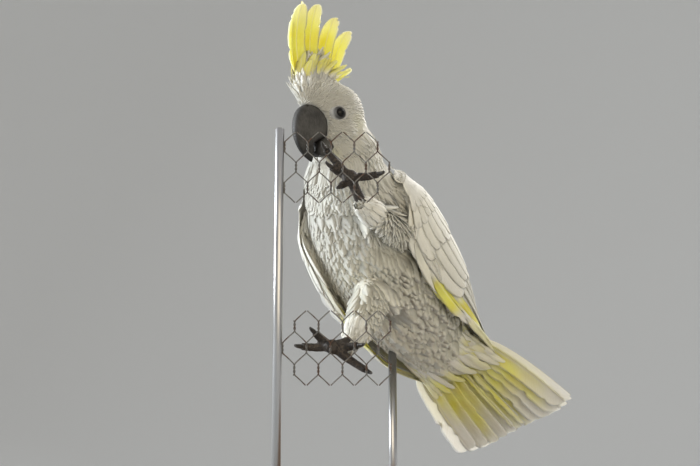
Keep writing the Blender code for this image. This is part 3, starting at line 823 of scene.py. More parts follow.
# %% Trunk: breast and belly, then back and rump
def trunk_part(name, chosen, spacing, scale, lean, kind, wobble, seed):
    """Long body feathers that point to the tail, and part a little to the sides on the breast."""
    roots = Roots(chosen & is_part["trunk"] & ~NAKED & (FACE_PLACE < TAIL_ROOT), spacing, 20 + seed)
    sideways = np.cos(roots.angle)
    spread = np.sign(sideways) * smoothstep(0.15, 0.9, np.abs(sideways))
    lie = roots.tailward + roots.leftward * (spread * 0.22)[:, None]
    grow = scale * (0.80 + 0.30 * smoothstep(4.0, 8.0, roots.place))
    grow = grow * roots.rng.uniform(0.88, 1.12, len(grow))
    size, lean = sized(grow, 0.0154, 0.0300, 0.0026), np.full(len(grow), lean)
    plant(name, roots, lie, size, lean, kind, wobble, seed, roots.map_round())


# Each part's name and faces, space between roots, scale, lean off the skin, vane, wobble and seed
BREAST_END = 6.2
belly = np.sin(FACE_ANGLE) < -0.05
trunk_part("coat_breast", belly & (FACE_PLACE < BREAST_END), 0.0027, 0.90, 0.050, "soft", 0.036, 3)
trunk_part("coat_belly", belly & (FACE_PLACE >= BREAST_END), 0.0026, 0.93, 0.048, "soft", 0.036, 4)
trunk_part("coat_back", ~belly, 0.0029, 1.0, 0.055, "scale", 0.045, 5)

# %% Thighs, from the knee down to the ankle
for side, sign in SIDES:
    knee, heel = np.array(KNEE[side]), np.array(HEEL[side])
    shin = heel - knee
    roots = Roots(is_part[f"thigh_{side}"] & ~NAKED, SPACING["thigh"], 30 + sign)
    off = roots.points - knee
    down = np.clip((off @ shin) / (shin @ shin), -0.6, 1.2)
    low = smoothstep(0.35, 1.0, down)[:, None]
    lie = unit(shin) * (0.50 + 0.50 * low) + roots.tailward * (0.9 - 0.8 * low)
    lie = lie - (1 - low) * np.array([(0, 0, 0.2)])
    base, gain = (0.95, 0.15) if side == "right" else (0.68, -0.03)
    grow = (base + gain * smoothstep(0.3, 1.0, down)) * roots.rng.uniform(0.85, 1.15, len(down))
    size = sized(grow, 0.0092, 0.0190, 0.0019)
    lean = 0.038 + 0.02 * smoothstep(0.5, 1.0, down)
    turn = np.arctan2(off @ unit(np.cross(shin, (0, 0, 1))), off[:, 2])
    sock_map = np.column_stack([turn, down])
    plant(f"coat_thigh_{side}", roots, lie, size, lean, "soft", 0.045, 6 + sign, sock_map, 0.60)

# %% Shoulders, as far back as the wrist of the wing
WRIST = 4.9
for side, sign in SIDES:
    roots = Roots(is_part[f"wing_{side}"] & (FACE_PLACE < WRIST), SPACING["wing"], 40 + sign)
    grow = 0.90 + 0.25 * smoothstep(4.0, 7.0, roots.place)
    size, around = sized(grow, 0.0090, 0.0165, 0.0036), roots.map_round()
    plant(f"coat_wing_{side}", roots, roots.tailward, size, grow * 0.06, "soft", 0.08, 8 + sign, around, 0.70)
print("coat:", sum(COAT_TRIANGLES.values()), "triangles")

# %% [markdown]
# ## Long feathers
# Wing, tail and crest feathers are big enough to be built one by one. Each is a thin closed blade laid
# over the surface that carries it: a narrow root, a rounded tip, barbs that slant forward and a few
# splits where the barbs have let go. One edge is raised over its neighbour and the other tucked under, as
# in a hand of cards.


# %% A blade over a surface
def handed(obj, finish_used, slot, *nodes):
    """A finished piece: its only material, its body and the solids it replaces; the slot argument is not
    used.
    """
    obj.data.materials.clear()
    obj.data.materials.append(finish_used)
    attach(obj, "root")
    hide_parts(*nodes)
    return obj


class Blades:
    """Gathers closed feather blades into one mesh, with bake map, lay, tone and yellow on their points."""

    def __init__(self, name, seed):
        self.name, self.rng = name, np.random.default_rng(seed)
        self.verts, self.faces, self.lay, self.yellow, self.tone, self.sheet = [], [], [], [], [], []
        self.count = 0

    def add(self, surface, length, half, yellow, rows, columns, thick, splits, tip=0.55, fray=0.03):
        """surface(share, across, lift) gives a point; half is the half width in metres."""
        t = np.linspace(0, 1, rows + 1)
        s = 1 - (1 - t) ** 1.35
        round_off = np.sqrt(np.clip(1 - (np.clip(s - tip, 0, 1) / (1 - tip)) ** 2.2, 0, 1))
        width = np.clip(0.16 + s * 3.2, 0, 1) * (0.80 + 0.20 * s) * np.maximum(round_off, 0.12)
        rag = 1 - fray * self.rng.random((rows + 1, 2))
        for _ in range(splits):
            row, edge = self.rng.integers(rows // 3, rows), self.rng.integers(0, 2)
            rag[row, edge] *= self.rng.uniform(0.72, 0.9)
        slant = 0.9 * half / length
        shade = self.rng.random()
        tops, unders = {}, {}
        for i in range(rows + 1):
            for j, c in enumerate(np.linspace(-1, 1, columns + 1)):
                edge = abs(c) > 0.99
                reach = c * (width[i] * (rag[i, int(c > 0)] if edge else 1.0))
                share = min(s[i] + slant * abs(c) * width[i] * min(1, s[i] * 4) * (1 - s[i] * 0.75), 1.0)
                rim = edge or i in (0, rows)
                for under in (False, True):
                    if rim and under:
                        unders[i, j] = tops[i, j]
                        continue
                    (unders if under else tops)[i, j] = len(self.verts)
                    off = 0 if rim else -thick if under else thick
                    lift = off * (1 - 0.5 * abs(c)) * (1 + 1.2 * (j == columns // 2))
                    self.verts.append(tuple(surface(share, reach * half, lift)))
                    self.lay.append((reach * half, share * length, float(under) * (1 - rim) + 0.5 * rim))
                    self.yellow.append(float(yellow(share, reach, under or rim)))
                    self.tone.append(shade)
        for i in range(rows):
            for j in range(columns):
                corners = ((i, j), (i, j + 1), (i + 1, j + 1), (i + 1, j))
                self.faces.append([tops[k] for k in corners])
                self.sheet.append((2 * self.count, corners, rows, columns))
                self.faces.append([unders[k] for k in reversed(corners)])
                self.sheet.append((2 * self.count + 1, tuple(reversed(corners)), rows, columns))
        self.count += 1

    def made(self, finish_used, slot, *nodes):
        """The finished piece; on its bake map every blade has two cells of its own, one for each side."""
        mesh = mesh_of(self.name, self.verts, self.faces)
        noted(mesh, "lay", self.lay)
        noted(mesh, "tone", self.tone)
        noted(mesh, "yellow", self.yellow)
        cells = math.ceil(math.sqrt(2 * self.count))
        places = []
        for number, corners, rows, columns in self.sheet:
            x, y = number % cells, number // cells
            for i, j in corners:
                places += [(x + 0.06 + 0.88 * j / columns) / cells, (y + 0.04 + 0.92 * i / rows) / cells]
        mesh.uv_layers.new(name="OFBake").data.foreach_set("uv", places)
        faced_out(mesh)
        handed(shown(self.name, mesh), finish_used, slot, *nodes)
        mesh.calc_loop_triangles()
        print(self.name, self.count, "feathers,", len(mesh.loop_triangles), "triangles")


def plain(share, across, under):
    """A white blade."""
    return 0.0


def washed(gold, low, high, fade=1, gone=2):
    """A blade that turns yellow between two shares of its length, and may fade again between two more."""

    def tint(share, across, under):
        return gold * smoothstep(low, high, share) * (1 - smoothstep(fade, gone, share))

    return tint


THIN_WEB = 0.0003  # half the thickness of most blades
WEB = 0.012  # the half width over which a blade's tilt is measured
print("blades ready")

# %% [markdown]
# ## The folded wings
# Rows of blades follow the wing from the long flight feathers, which lie lowest, up to the small coverts.
# At the shoulder they are drawn down until they rest on the neck, and other rows line the underside of
# the wing.

# %% Laying a blade on the wing
WEB_TILT, STEP = 0.0006, 0.04
SHOULDER = {sign: tree_of(f"wing_{side}", "neck", "trunk") for side, sign in SIDES}
SHOULDER_END = 4.8


def between(first, last, share):
    """The pair that lies at a share of the way from the first pair to the last."""
    return [first[k] + (last[k] - first[k]) * share for k in (0, 1)]


def settled(side, point, place):
    """Draws a point near the shoulder down until it lies on the neck or the wing."""
    most = 0.0009 + 0.0075 * smoothstep(3.7, SHOULDER_END, place)
    near, _, _, away = SHOULDER[side].find_nearest(Vector(point))
    return point if away <= most else np.array(near) + (point - np.array(near)) * (most / away)


def laid_on_wing(side, start, end, rest, inner=False):
    """A surface for a blade whose shaft runs on the wing from start to end, both (place, u)."""
    face = -1 if inner else 1

    def surface(share, across, lift):
        place, u = between(start, end, share)
        here, there = wing_point(side, place, u - STEP), wing_point(side, place, u + STEP)
        scale = np.linalg.norm(there - here) / (2 * STEP)
        off = lift + rest - WEB_TILT * across / WEB
        point = wing_point(side, place, u + face * across / max(scale, 0.008), face * off, inner)
        return point if inner or place > SHOULDER_END else settled(side, point, place)

    first, last = wing_point(side, *start), wing_point(side, *end)
    return surface, float(np.linalg.norm(last - first))


print("wing surfaces ready")

# %% Wing feathers
# Name, count, first and last root as (place, u), first and last tip, half width, height over the wing; flight
# feathers are the first two rows
WING_ROWS = (
    ("primary", 8, (7.2, -0.90), (7.0, -0.45), (11.55, -0.55), (10.6, 0.00), 0.0092, -0.0052),
    ("secondary", 10, (6.3, -0.70), (6.2, 0.55), (10.3, -0.30), (10.9, 0.72), 0.0125, -0.0036),
    ("tertial", 4, (6.0, 0.50), (5.9, 0.92), (9.7, 0.55), (10.2, 0.86), 0.0130, -0.0022),
    ("greater covert", 11, (5.6, -0.92), (5.3, 0.85), (8.0, -0.80), (7.7, 0.88), 0.0108, -0.0020),
    ("median covert", 12, (5.0, -0.92), (4.8, 0.88), (6.6, -0.88), (6.4, 0.90), 0.0090, -0.0008),
    ("small covert", 12, (4.5, -0.85), (4.4, 0.80), (5.6, -0.90), (5.4, 0.88), 0.0080, -0.0002),
    ("edge covert", 12, (4.22, -0.85), (4.20, 0.80), (5.0, -0.92), (4.9, 0.86), 0.0068, 0.0001),
    ("shoulder covert", 12, (3.48, -0.85), (3.46, 0.70), (4.6, -0.95), (4.5, 0.84), 0.0066, 0.0002),
)
LINING_COUNT, YELLOW_EDGE_COUNT = 11, 5
# Place of the first root and the first tip, half width, height under the wing, how yellow
LINING = (
    (8.3, 10.8, 0.0080, 0.0, 0.45),
    (6.7, 8.9, 0.0088, 0.0002, 0.95),
    (5.7, 7.6, 0.0088, 0.0005, 0.1),
    (4.7, 6.6, 0.0084, 0.0008, 0.0),
)


def inner_gold(share, across, under):
    """Yellow on the inner webs, seen from below."""
    gold = 0.85 * under * smoothstep(-0.1, 0.5, across) * smoothstep(0.15, 0.4, share)
    return gold * (1 - smoothstep(0.75, 0.95, share))


for side, sign in SIDES:
    wing = Blades(f"wing_feathers_{side}", 50 + sign)
    for label, count, first, last, first_tip, last_tip, half, rest in WING_ROWS:
        for i in range(count):
            share = i / (count - 1)
            start, end = between(first, last, share), between(first_tip, last_tip, share)
            end[0] += wing.rng.uniform(-0.08, 0.08)
            surface, length = laid_on_wing(sign, start, end, rest)
            size = half * wing.rng.uniform(0.93, 1.07)
            gold, tip = (inner_gold, 0.80) if label in ("primary", "secondary") else (plain, 0.55)
            wing.add(surface, length, size, gold, 16 if length > 0.08 else 9, 6, THIN_WEB, 2, tip)
    for first, tips, half, rest, gold in LINING:
        for i in range(LINING_COUNT):
            u = -1.0 + 0.15 * i
            start, end = (first + 0.02 * i, u), (tips - 0.03 * i + wing.rng.uniform(-0.08, 0.08), u - 0.04)
            surface, length = laid_on_wing(sign, start, end, rest, True)
            tint = washed(gold * (u < -0.4), 0.08, 0.28, 0.62, 0.85)
            wing.add(surface, length, half, tint, 12, 6, THIN_WEB, 2, 0.5)
    for i in range(YELLOW_EDGE_COUNT):
        start, end = (6.3 + 0.26 * i, -0.99 + 0.03 * i), (8.0 + 0.36 * i, -1.08 + 0.05 * i)
        surface, length = laid_on_wing(sign, start, end, -0.0052 + 0.0004 * i)
        wing.add(surface, length, 0.0060, washed(0.9, 0.25, 0.45), 14, 6, THIN_WEB, 2)
    wing.made(feather_white, "plumage", f"wing_{side}")

# %% [markdown]
# ## Cuffs at the ankles
# The skin narrows towards the bare shank. Three rows of small blades run along the end of each thigh and
# out over the ankle, so that the plumage closes softly round it.

# %% Feathers that close over the ankles
# How far above the ankle a row begins and how far off the bone, how far past it the tips end and how far off,
# and how many there are
CUFF_ROWS = (
    (0.024, 0.0118, -0.002, 0.0094, 13),
    (0.016, 0.0104, 0.003, 0.0070, 12),
    (0.010, 0.0085, 0.006, 0.0058, 11),
)


def cuff_feather(heel, down, side, back_by, root_off, past, tip_off, angle):
    """A surface that runs along the end of the thigh, outside its skin, and on past the ankle."""
    out = side * math.cos(angle) + np.cross(down, side) * math.sin(angle)
    round_it = np.cross(out, down)

    def surface(share, across, lift):
        bow = 0.0016 * math.sin(math.pi * share)
        off = root_off + (tip_off - root_off) * share + bow + lift - 22 * across * across
        return heel + down * (past * share - back_by * (1 - share)) + out * off + round_it * across

    return surface, back_by + past


for side, sign in SIDES:
    cuff = Blades(f"cuff_{side}", 80 + (side == "left"))
    heel = np.array(HEEL[side])
    down = unit(heel - np.array(KNEE[side]))
    flat = unit(np.cross(down, (0, 0, 1)))
    for back_by, root_off, past, tip_off, count in CUFF_ROWS:
        for i in range(count):
            angle = 2 * math.pi * (i + cuff.rng.uniform(-0.25, 0.25)) / count
            reach = past + cuff.rng.uniform(-0.0015, 0.0015)
            surface, length = cuff_feather(heel, down, flat, back_by, root_off, reach, tip_off, angle)
            cuff.add(surface, length, 0.0038, plain, 9, 6, THIN_WEB, 2, 0.5, 0.10)
    cuff.made(feather_white, "plumage", f"thigh_{side}")

# %% [markdown]
# ## The tail
# Twelve broad feathers make a shallow roof with the middle pair on top. Below, a cloudy lemon wash covers
# their inner webs. Rows of loose coverts hide their roots above and below.

# %% Tail: twelve feathers, the middle pair on top
TAIL_FEATHERS, TAIL_LENGTH, TAIL_WEB = 12, 0.135, 0.0145
tail = Blades("tail_feathers", 60)
for i in range(TAIL_FEATHERS):
    off_middle = i - (TAIL_FEATHERS - 1) / 2
    u = off_middle / 5.7
    outer = 1 if u > 0 else -1
    rank = abs(off_middle)

    def surface(share, across, lift, u=u, outer=outer, rank=rank):
        tipped = share * (1 - 0.10 * abs(u) ** 4 - 0.008 * (rank % 2 < 1))
        tilt = 0.0016 * across * outer / WEB
        rise = 0.0042 - 0.00105 * rank + tilt * min(1, share * 2) + lift - 0.5 * across * across / 0.02
        return tail_point(tipped * 0.995, u * 0.93 + across / tail_half(share), rise)

    blot = tail.rng.uniform(0, 6.28, 2)

    def wash(share, across, under, outer=outer, rank=rank, blot=blot):
        """A cloudy lemon wash on the underside; the outer web, the edges and the tips stay white."""
        inner = smoothstep(*((-1.0, -0.5) if rank < 5 else (-0.35, 0.35)), -across * outer)
        cloud = 0.72 + 0.28 * math.sin(share * 17 + blot[0] + 3 * across) * math.sin(share * 7 + blot[1])
        ends = smoothstep(0.02, 0.18, share) * (1 - smoothstep(0.66, 0.96, share + 0.10 * math.sin(blot[0])))
        return (0.20 + 0.74 * inner * cloud) * ends if under else 0.06 * inner * ends

    tail.add(surface, TAIL_LENGTH, TAIL_WEB, wash, 26, 10, 0.00035, 2 if rank > 5 else 5, 0.88, 0.035)
tail.made(feather_white, "plumage", "tail")

# %% Tail coverts, below and above
# Place on the spine where a row grows, how far its tips reach along the tail, count
ROWS_OF_COVERTS = (
    (9.1, 0.42, 17),
    (8.9, 0.33, 19),
    (8.65, 0.24, 19),
    (8.4, 0.15, 19),
    (8.1, 0.06, 19),
    (7.8, 0.0, 19),
)
ROOT_DEPTH = 0.78  # coverts grow at this share of the body's half sizes, under its coat


def bowed(start, middle, end, share):
    """A point on the curve that leaves start for the middle point and arrives at end."""
    return start * (1 - share) ** 2 + middle * 2 * share * (1 - share) + end * share**2


def covert(u, place, share_end, under):
    """A feather that grows from the rump or the vent and runs out over the tail's root."""
    flip = -1 if under else 1
    centre, tailward, left, back, sizes = spine_frame(place)
    angle = math.radians(90 - 66 * u) * flip
    start = centre + left * math.cos(angle) * sizes[0] * ROOT_DEPTH
    start = start + back * math.sin(angle) * (sizes[2] if under else sizes[1]) * ROOT_DEPTH
    end = tail_point(max(share_end, 0.0), u * 0.78, flip * 0.0058 - 0.001)
    reach = float(np.linalg.norm(end - start))
    bend = start + tailward * reach * 0.5 + (left * math.cos(angle) + back * math.sin(angle)) * 0.002
    sideways = unit(np.cross(unit(end - start), back * flip))

    def surface(share, across, lift):
        rise = unit(back * flip + left * math.cos(angle) * (1 - share))
        side = unit(sideways - rise * (sideways @ rise))
        return bowed(start, bend, end, share) + side * across + rise * (lift - 9 * across * across)

    return surface, reach


coverts = Blades("tail_coverts", 61)
for under in (True, False):
    for place, share_end, count in ROWS_OF_COVERTS:
        for i in range(count):
            u = (2 * (i + 0.5 + coverts.rng.uniform(-0.25, 0.25)) / count - 1) * 1.12
            surface, length = covert(u, place, share_end + coverts.rng.uniform(-0.05, 0.05), under)
            blot = coverts.rng.random() ** 2
            tint = washed(0.12 + 0.75 * blot if under else 0.03, 0.25, 0.7)
            half = 0.0062 * coverts.rng.uniform(0.85, 1.2)
            coverts.add(surface, length, half, tint, 14, 4, THIN_WEB, 6, 0.42, 0.20)
coverts.made(feather_white, "plumage")

# %% [markdown]
# ## The crest
# A cockatoo's crest is a few broad blades that curl forward, white where they leave the head and yellow
# above. Each rises on its own bowed line; shorter ones fill the gaps between the tall ones. The white
# tuft before them is part of the coat.

# %% Crest feathers
# Side of the head, root and tip as (forward, up), how far the blade bows forward
CREST = (
    (-1, (0.029, 0.016), (0.022, 0.094), 0.011),
    (1, (0.027, 0.020), (0.021, 0.100), 0.016),
    (-1, (0.021, 0.025), (0.013, 0.106), 0.014),
    (1, (0.016, 0.028), (0.004, 0.101), 0.012),
    (-1, (0.010, 0.030), (-0.007, 0.101), 0.010),
    (1, (0.004, 0.031), (-0.015, 0.090), 0.009),
    (-1, (-0.001, 0.031), (-0.018, 0.082), 0.006),
    (1, (-0.005, 0.029), (-0.029, 0.078), 0.008),
    (-1, (-0.009, 0.026), (-0.036, 0.045), 0.006),
)
SHORT_ONES = 34


def crest_line(side, root, tip, bow, splay):
    """A bowed rising surface, turned a little to its own side."""
    a, b = in_head(root[0], side * splay, root[1]), in_head(tip[0], side * splay * 1.8, tip[1])
    middle = (a + b) / 2 + FORWARD * bow
    wide = unit(FORWARD - LEFT * side * 0.8)
    out = unit(np.cross(wide, unit(b - a))) * -side

    def surface(share, across, lift):
        return bowed(a, middle, b, share) + wide * across + out * (lift - 18 * across * across)

    return surface, float(np.linalg.norm(b - a))


def crest_gold(share, across, under):
    """White at the foot, then yellow to the tip, paler along the edges."""
    gold = smoothstep(0.08, 0.28, share) * (1 - 0.30 * smoothstep(0.6, 1.0, abs(across)))
    return gold * (1 - 0.35 * smoothstep(0.6, 1.0, share))


crest = Blades("crest_feathers", 70)
for side, root, tip, bow in CREST:
    surface, length = crest_line(side, root, tip, bow, 0.0026)
    crest.add(surface, length, 0.0092, crest_gold, 22, 8, 0.0004, 4, 0.66, 0.05)
for n in range(SHORT_ONES):
    side = 1 if n % 2 else -1
    f = n / (SHORT_ONES - 1)
    root = (0.030 - 0.038 * f, 0.012 + 0.018 * math.sin(math.pi * min(1, f * 1.3) * 0.5))
    tip = (0.028 - 0.052 * f, 0.044 + 0.012 * crest.rng.random() - 0.014 * f * f)
    surface, length = crest_line(side, root, tip, 0.009, 0.0030 + 0.0035 * crest.rng.random())
    crest.add(surface, length, 0.0056, washed(0.85, 0.15, 0.7), 12, 4, 0.00014, 3, 0.5, 0.10)
crest.made(feather_white, "crest", "crest")

# %% [markdown]
# ## Bill
# The bill is dark horn under a bloom of pale powder that the bird spreads from its down. It grows in
# layers, so faint bands cross it, and the powder wears off the ridge, the hook and the cutting edge. The
# darkening towards the tip and along the lower edge is partly that wear and partly painted shade.

# %% Horn, powder and the two halves of the bill
# Ridge and rim as (forward, up) from the centre of the head, and half width, from the face to the tip
UPPER_BILL = (
    ((0.018, 0.004), (0.002, -0.017), 0.0110),
    ((0.027, 0.0055), (0.007, -0.023), 0.0130),
    ((0.035, 0.0015), (0.012, -0.026), 0.0128),
    ((0.040, -0.006), (0.0165, -0.0275), 0.0117),
    ((0.0428, -0.016), (0.020, -0.0295), 0.0100),
    ((0.0425, -0.0255), (0.0225, -0.0335), 0.0079),
    ((0.0395, -0.035), (0.0238, -0.0385), 0.0054),
    ((0.034, -0.0425), (0.0248, -0.0432), 0.0032),
    ((0.027, -0.0478), (0.0258, -0.047), 0.0008),
)
LOWER_BILL = (
    ((0.003, -0.023), (0.001, -0.037), 0.0098),
    ((0.010, -0.0245), (0.009, -0.0405), 0.0102),
    ((0.016, -0.027), (0.0155, -0.0425), 0.0094),
    ((0.020, -0.031), (0.0202, -0.0425), 0.0074),
    ((0.0222, -0.0365), (0.0226, -0.040), 0.0036),
)
BAND, HORN_AROUND = 0.0023, 72
NOTCH_AT, NOSTRIL_AT, NOSTRIL_ANGLE = 0.62, 1.22, 0.42


def horn_paint(spot):
    """Powdered grey horn with growth bands, darker where the powder wears off, with painted shade on the tip,
    the lower edge and the nostrils.
    """
    lay = read(spot, "lay", "Vector")
    bands = (lay.part("Y") * (2 * math.pi / BAND) + spot.noise(120) * 4).sin()
    streak = spot.stretched((900, 900, 260)).noise(1.0, 4)
    # wear and painted shade: bare horn on the ridge and hook, and painted shade on the tip, the lower edge
    # and the nostrils
    bare_horn_and_shade = (read(spot, "worn") + spot.noise(150, 4) * 0.7 - 0.35).step(0.15, 0.75)
    powder = (spot.noise(70, 5) * 0.7 + streak * 0.4).step(0.30, 0.85)
    colour = powder.mix((0.032, 0.031, 0.031), (0.098, 0.096, 0.092))
    colour = bare_horn_and_shade.mix(colour, (0.014, 0.013, 0.0125))
    height = bands * 0.25 + streak * 0.5 + spot.noise(600, 2) * 0.25
    return {"Base_Color": colour, "Roughness": 0.72 - bare_horn_and_shade * 0.26, "Normal": height.bump(0.45, 0.00035)}


bill_horn = finish("bill_horn", horn_paint, Specular_IOR_Level=0.28)


def bell(*terms):
    """1 where every x sits on its centre and less away from it; each term is (x, centre, width)."""
    return math.exp(-sum(((x - centre) / width) ** 2 for x, centre, width in terms))


def horn(name, rows, sharp, steps, notch=0.0, nostril=0.0):
    """A horn lofted from its ridge and rim lines, finer than the solid, with a notch in the cutting edge."""
    verts, lay, worn = [], [], []
    run, before = 0.0, None
    for place in np.linspace(0, len(rows) - 1, steps):
        ridge, rim, wide = (along([row[k] for row in rows], place) for k in range(3))
        run += 0.0 if before is None else float(np.linalg.norm(ridge - before))
        before = ridge
        share = place / (len(rows) - 1)
        for k in range(HORN_AROUND):
            a = 2 * math.pi * k / HORN_AROUND
            up = (1 + math.cos(a)) / 2
            bite = notch * bell((share, NOTCH_AT, 0.07)) * (1 - up) ** 6
            flat = rim + (ridge - rim) * min(1.0, up + bite)
            off_ridge = abs(math.remainder(a, 2 * math.pi))
            pit = nostril * bell((place, NOSTRIL_AT, 0.12), (off_ridge, NOSTRIL_ANGLE, 0.10))
            flat = flat + ((ridge + rim) / 2 - flat) * 0.14 * pit
            full = math.copysign(abs(math.sin(a)) ** 0.65, math.sin(a))
            out = (1 - 0.25 * pit) * float(wide) * full * (1 - sharp * up)
            verts.append(tuple(in_head(flat[0], out, flat[1])))
            lay.append((a, run, share))
            # how bare and dark the horn is: wear on the ridge, painted shade in the nostril pits, wear with
            # painted shade at the tip and lower edge
            worn.append(0.75 * share**2 + 0.35 * (1 - up) ** 8 + 0.25 * up**10 + 1.2 * pit)
    faces = []
    for i in range(0, (steps - 1) * HORN_AROUND, HORN_AROUND):
        for k in range(HORN_AROUND):
            n = (k + 1) % HORN_AROUND
            faces.append((i + k, i + n, i + HORN_AROUND + n, i + HORN_AROUND + k))
    ends = range(HORN_AROUND), reversed(range(len(verts) - HORN_AROUND, len(verts)))
    mesh = mesh_of(name, verts, faces + [tuple(end) for end in ends])
    noted(mesh, "lay", lay)
    noted(mesh, "worn", worn)
    faced_out(mesh)
    handed(shown(f"{name}_horn", mesh), bill_horn, "bill_horn", name)
    print(f"{name}_horn", round(run * 1000), "mm along the ridge")


horn("bill_upper", UPPER_BILL, 0.35, 66, notch=0.16, nostril=1.0)
horn("bill_lower", LOWER_BILL, -0.10, 30)

# %% [markdown]
# ## Eyes and lids
# The eye is a dark glossy ball with a near-black iris. A ring of bare skin with fine wrinkles, painted
# grey as shade, surrounds it, and two soft lids close on the ball, so that it sits in the head and
# doesn't look stuck on.


# %% Eyes
def eye_paint(centre, axis):
    """The paint of one eye, in rings round the axis it looks along."""

    def paint(spot):
        from_axis = spot.far_from(centre + axis * EYE_RADIUS)
        iris = from_axis.step(0.0021, 0.0026)
        rim = from_axis.step(0.0041, 0.0047)
        colour = iris.mix((0.002, 0.002, 0.002), (0.005, 0.0035, 0.003))
        return {"Base_Color": rim.mix(colour, (0.004, 0.004, 0.004))}

    return paint


def ball_mesh(name, centre):
    """A fine ball whose poles lie to the left and the right of the head."""
    mesh = bmesh.new()
    turn = Vector((0, 0, 1)).rotation_difference(Vector(LEFT)).to_matrix().to_4x4()
    place = Matrix.Translation(centre) @ turn
    bmesh.ops.create_uvsphere(mesh, u_segments=48, v_segments=24, radius=EYE_RADIUS, matrix=place)
    data = emptied(mesh, name)
    data.shade_smooth()
    return data


for side, sign in SIDES:
    paint = eye_paint(eyes[side], unit(LEFT * sign + FORWARD * 0.22))
    wet = finish(f"eye_gloss_{side}", paint, Roughness=0.10, Specular_IOR_Level=0.22)
    name = f"eyeball_{side}"
    handed(shown(name, ball_mesh(name, eyes[side])), wet, "eye", f"eye_{side}")
print("eyes", EYE_RADIUS * 2000, "mm across")


# %% Skin finish, with lids joined to the skin
def skin_paint(spot):
    """White-grey skin under the plumage; the rings round the eyes have fine wrinkles and are painted grey as
    shade.
    """
    near = spot.far_from(eyes["left"]).maths("MINIMUM", spot.far_from(eyes["right"]))
    ring = 1 - near.step(0.0095, 0.0115)
    folds = (near * (2 * math.pi / 0.0011) + spot.noise(300) * 5).sin()
    colour = read(spot, "yellow").clamp().mix((0.66, 0.645, 0.60), YELLOW)
    # painted shade: the bare ring round each eye is painted grey over pale skin, with noise for its wrinkles;
    # the lids are near black
    shaded_ring_colour = spot.noise(260, 3).mix((0.36, 0.355, 0.345), (0.52, 0.51, 0.49))
    lid = 1 - near.step(0.0059, 0.0068)
    shaded_ring_colour = lid.mix(shaded_ring_colour, (0.045, 0.045, 0.048))
    height = folds * ring * 0.5 + spot.cells(1500) * 0.4
    return {"Base_Color": ring.mix(colour, shaded_ring_colour), "Normal": height.bump(0.5, 0.0003)}


bird_skin = finish("bird_skin", skin_paint, Roughness=0.62)
rim = bmesh.new()
rim.from_mesh(skin.data)
below = BVHTree.FromBMesh(rim)
# Rings round each eye, from the ball out to the skin, in metres from its axis
REACHES = np.array([4.3, 4.35, 4.5, 4.7, 4.9, 5.1, 5.35, 5.6, 5.9, 6.2, 6.5, 6.9, 7.3, 7.7, 8.1]) / 1000
LID_EDGE, LID_END, LID_AROUND, FOLD = 0.0050, 0.0080, 64, 0.00085
for side, sign in SIDES:
    axis = unit(LEFT * sign + FORWARD * 0.10)
    ahead = unit(FORWARD - axis * (FORWARD @ axis))
    high = np.cross(axis, ahead) * sign
    rings = []
    for step, reach in enumerate(REACHES):
        ring = []
        ball = math.sqrt(EYE_RADIUS**2 - min(reach, LID_EDGE) ** 2) + 0.00015
        lip = 0.00055 * bell((reach, LID_EDGE, 0.00040))
        join = float(smoothstep(LID_EDGE, LID_END, reach))
        for k in range(LID_AROUND):
            a = 2 * math.pi * k / LID_AROUND
            flat = eyes[side] + (ahead * math.cos(a) * 1.04 + high * math.sin(a) * 0.97) * reach
            hit = below.ray_cast(Vector(flat + axis * 0.03), Vector(-axis))[0]
            ground = (np.array(hit) - flat) @ axis + 0.00012 if hit else 0.0
            wrinkle = 0.00007 * math.sin(reach * 2 * math.pi / FOLD + 1.5 * math.sin(a * 3)) * (step > 5)
            lift = (ball + lip) * (1 - join) + ground * join + wrinkle * (1 - join)
            ring.append(rim.verts.new(flat + axis * (lift - 0.0012 * (step == 0))))
        rings.append(ring)
    for inner, outer in zip(rings, rings[1:]):
        for k in range(LID_AROUND):
            n = (k + 1) % LID_AROUND
            quad = (inner[k], outer[k], outer[n], inner[n])
            rim.faces.new(quad if sign > 0 else quad[::-1]).smooth = True
rim.normal_update()
rim.to_mesh(skin.data)
rim.free()
noted(skin.data, "yellow", yellow_and_shade_at(vertices(skin.data)))
handed(skin, bird_skin, "plumage", *FLESH)
print("skin done:", len(skin.data.vertices), "vertices")

# %% [markdown]
# ## Legs, feet and claws
# A parrot's foot is covered with small round scales, with short cross plates on the top of the toes. Here
# one pattern of small scales covers it all. The solids are welded and smoothed, then the gaps between the
# scales are pressed in, so that they are real relief.


# %% Scaly feet
def scale_paint(spot):
    """Dark grey-brown scales with paler dust in patches, and painted shade darkening the creases between
    them.
    """
    dust = spot.noise(160, 4).step(0.35, 0.75)
    crease = read(spot, "crease")
    colour = dust.mix((0.034, 0.025, 0.019), (0.082, 0.063, 0.048))
    # painted shade: the creases between the scales are darkened
    colour = crease.step(0.15, 0.8).mix(colour, (0.018, 0.015, 0.014))
    return {"Base_Color": colour, "Normal": (spot.noise(900, 3) + spot.cells(2400) * 0.6).bump(0.5, 0.00025)}


leg_scales = finish("leg_scales", scale_paint, Roughness=0.58, Specular_IOR_Level=0.4)
LEG_VOXEL, SCALES_A_METRE = 0.00085, 480
CREASE_SHARE, CREASE_DEPTH, SCALE_RISE = 0.28, 0.00034, 0.00012


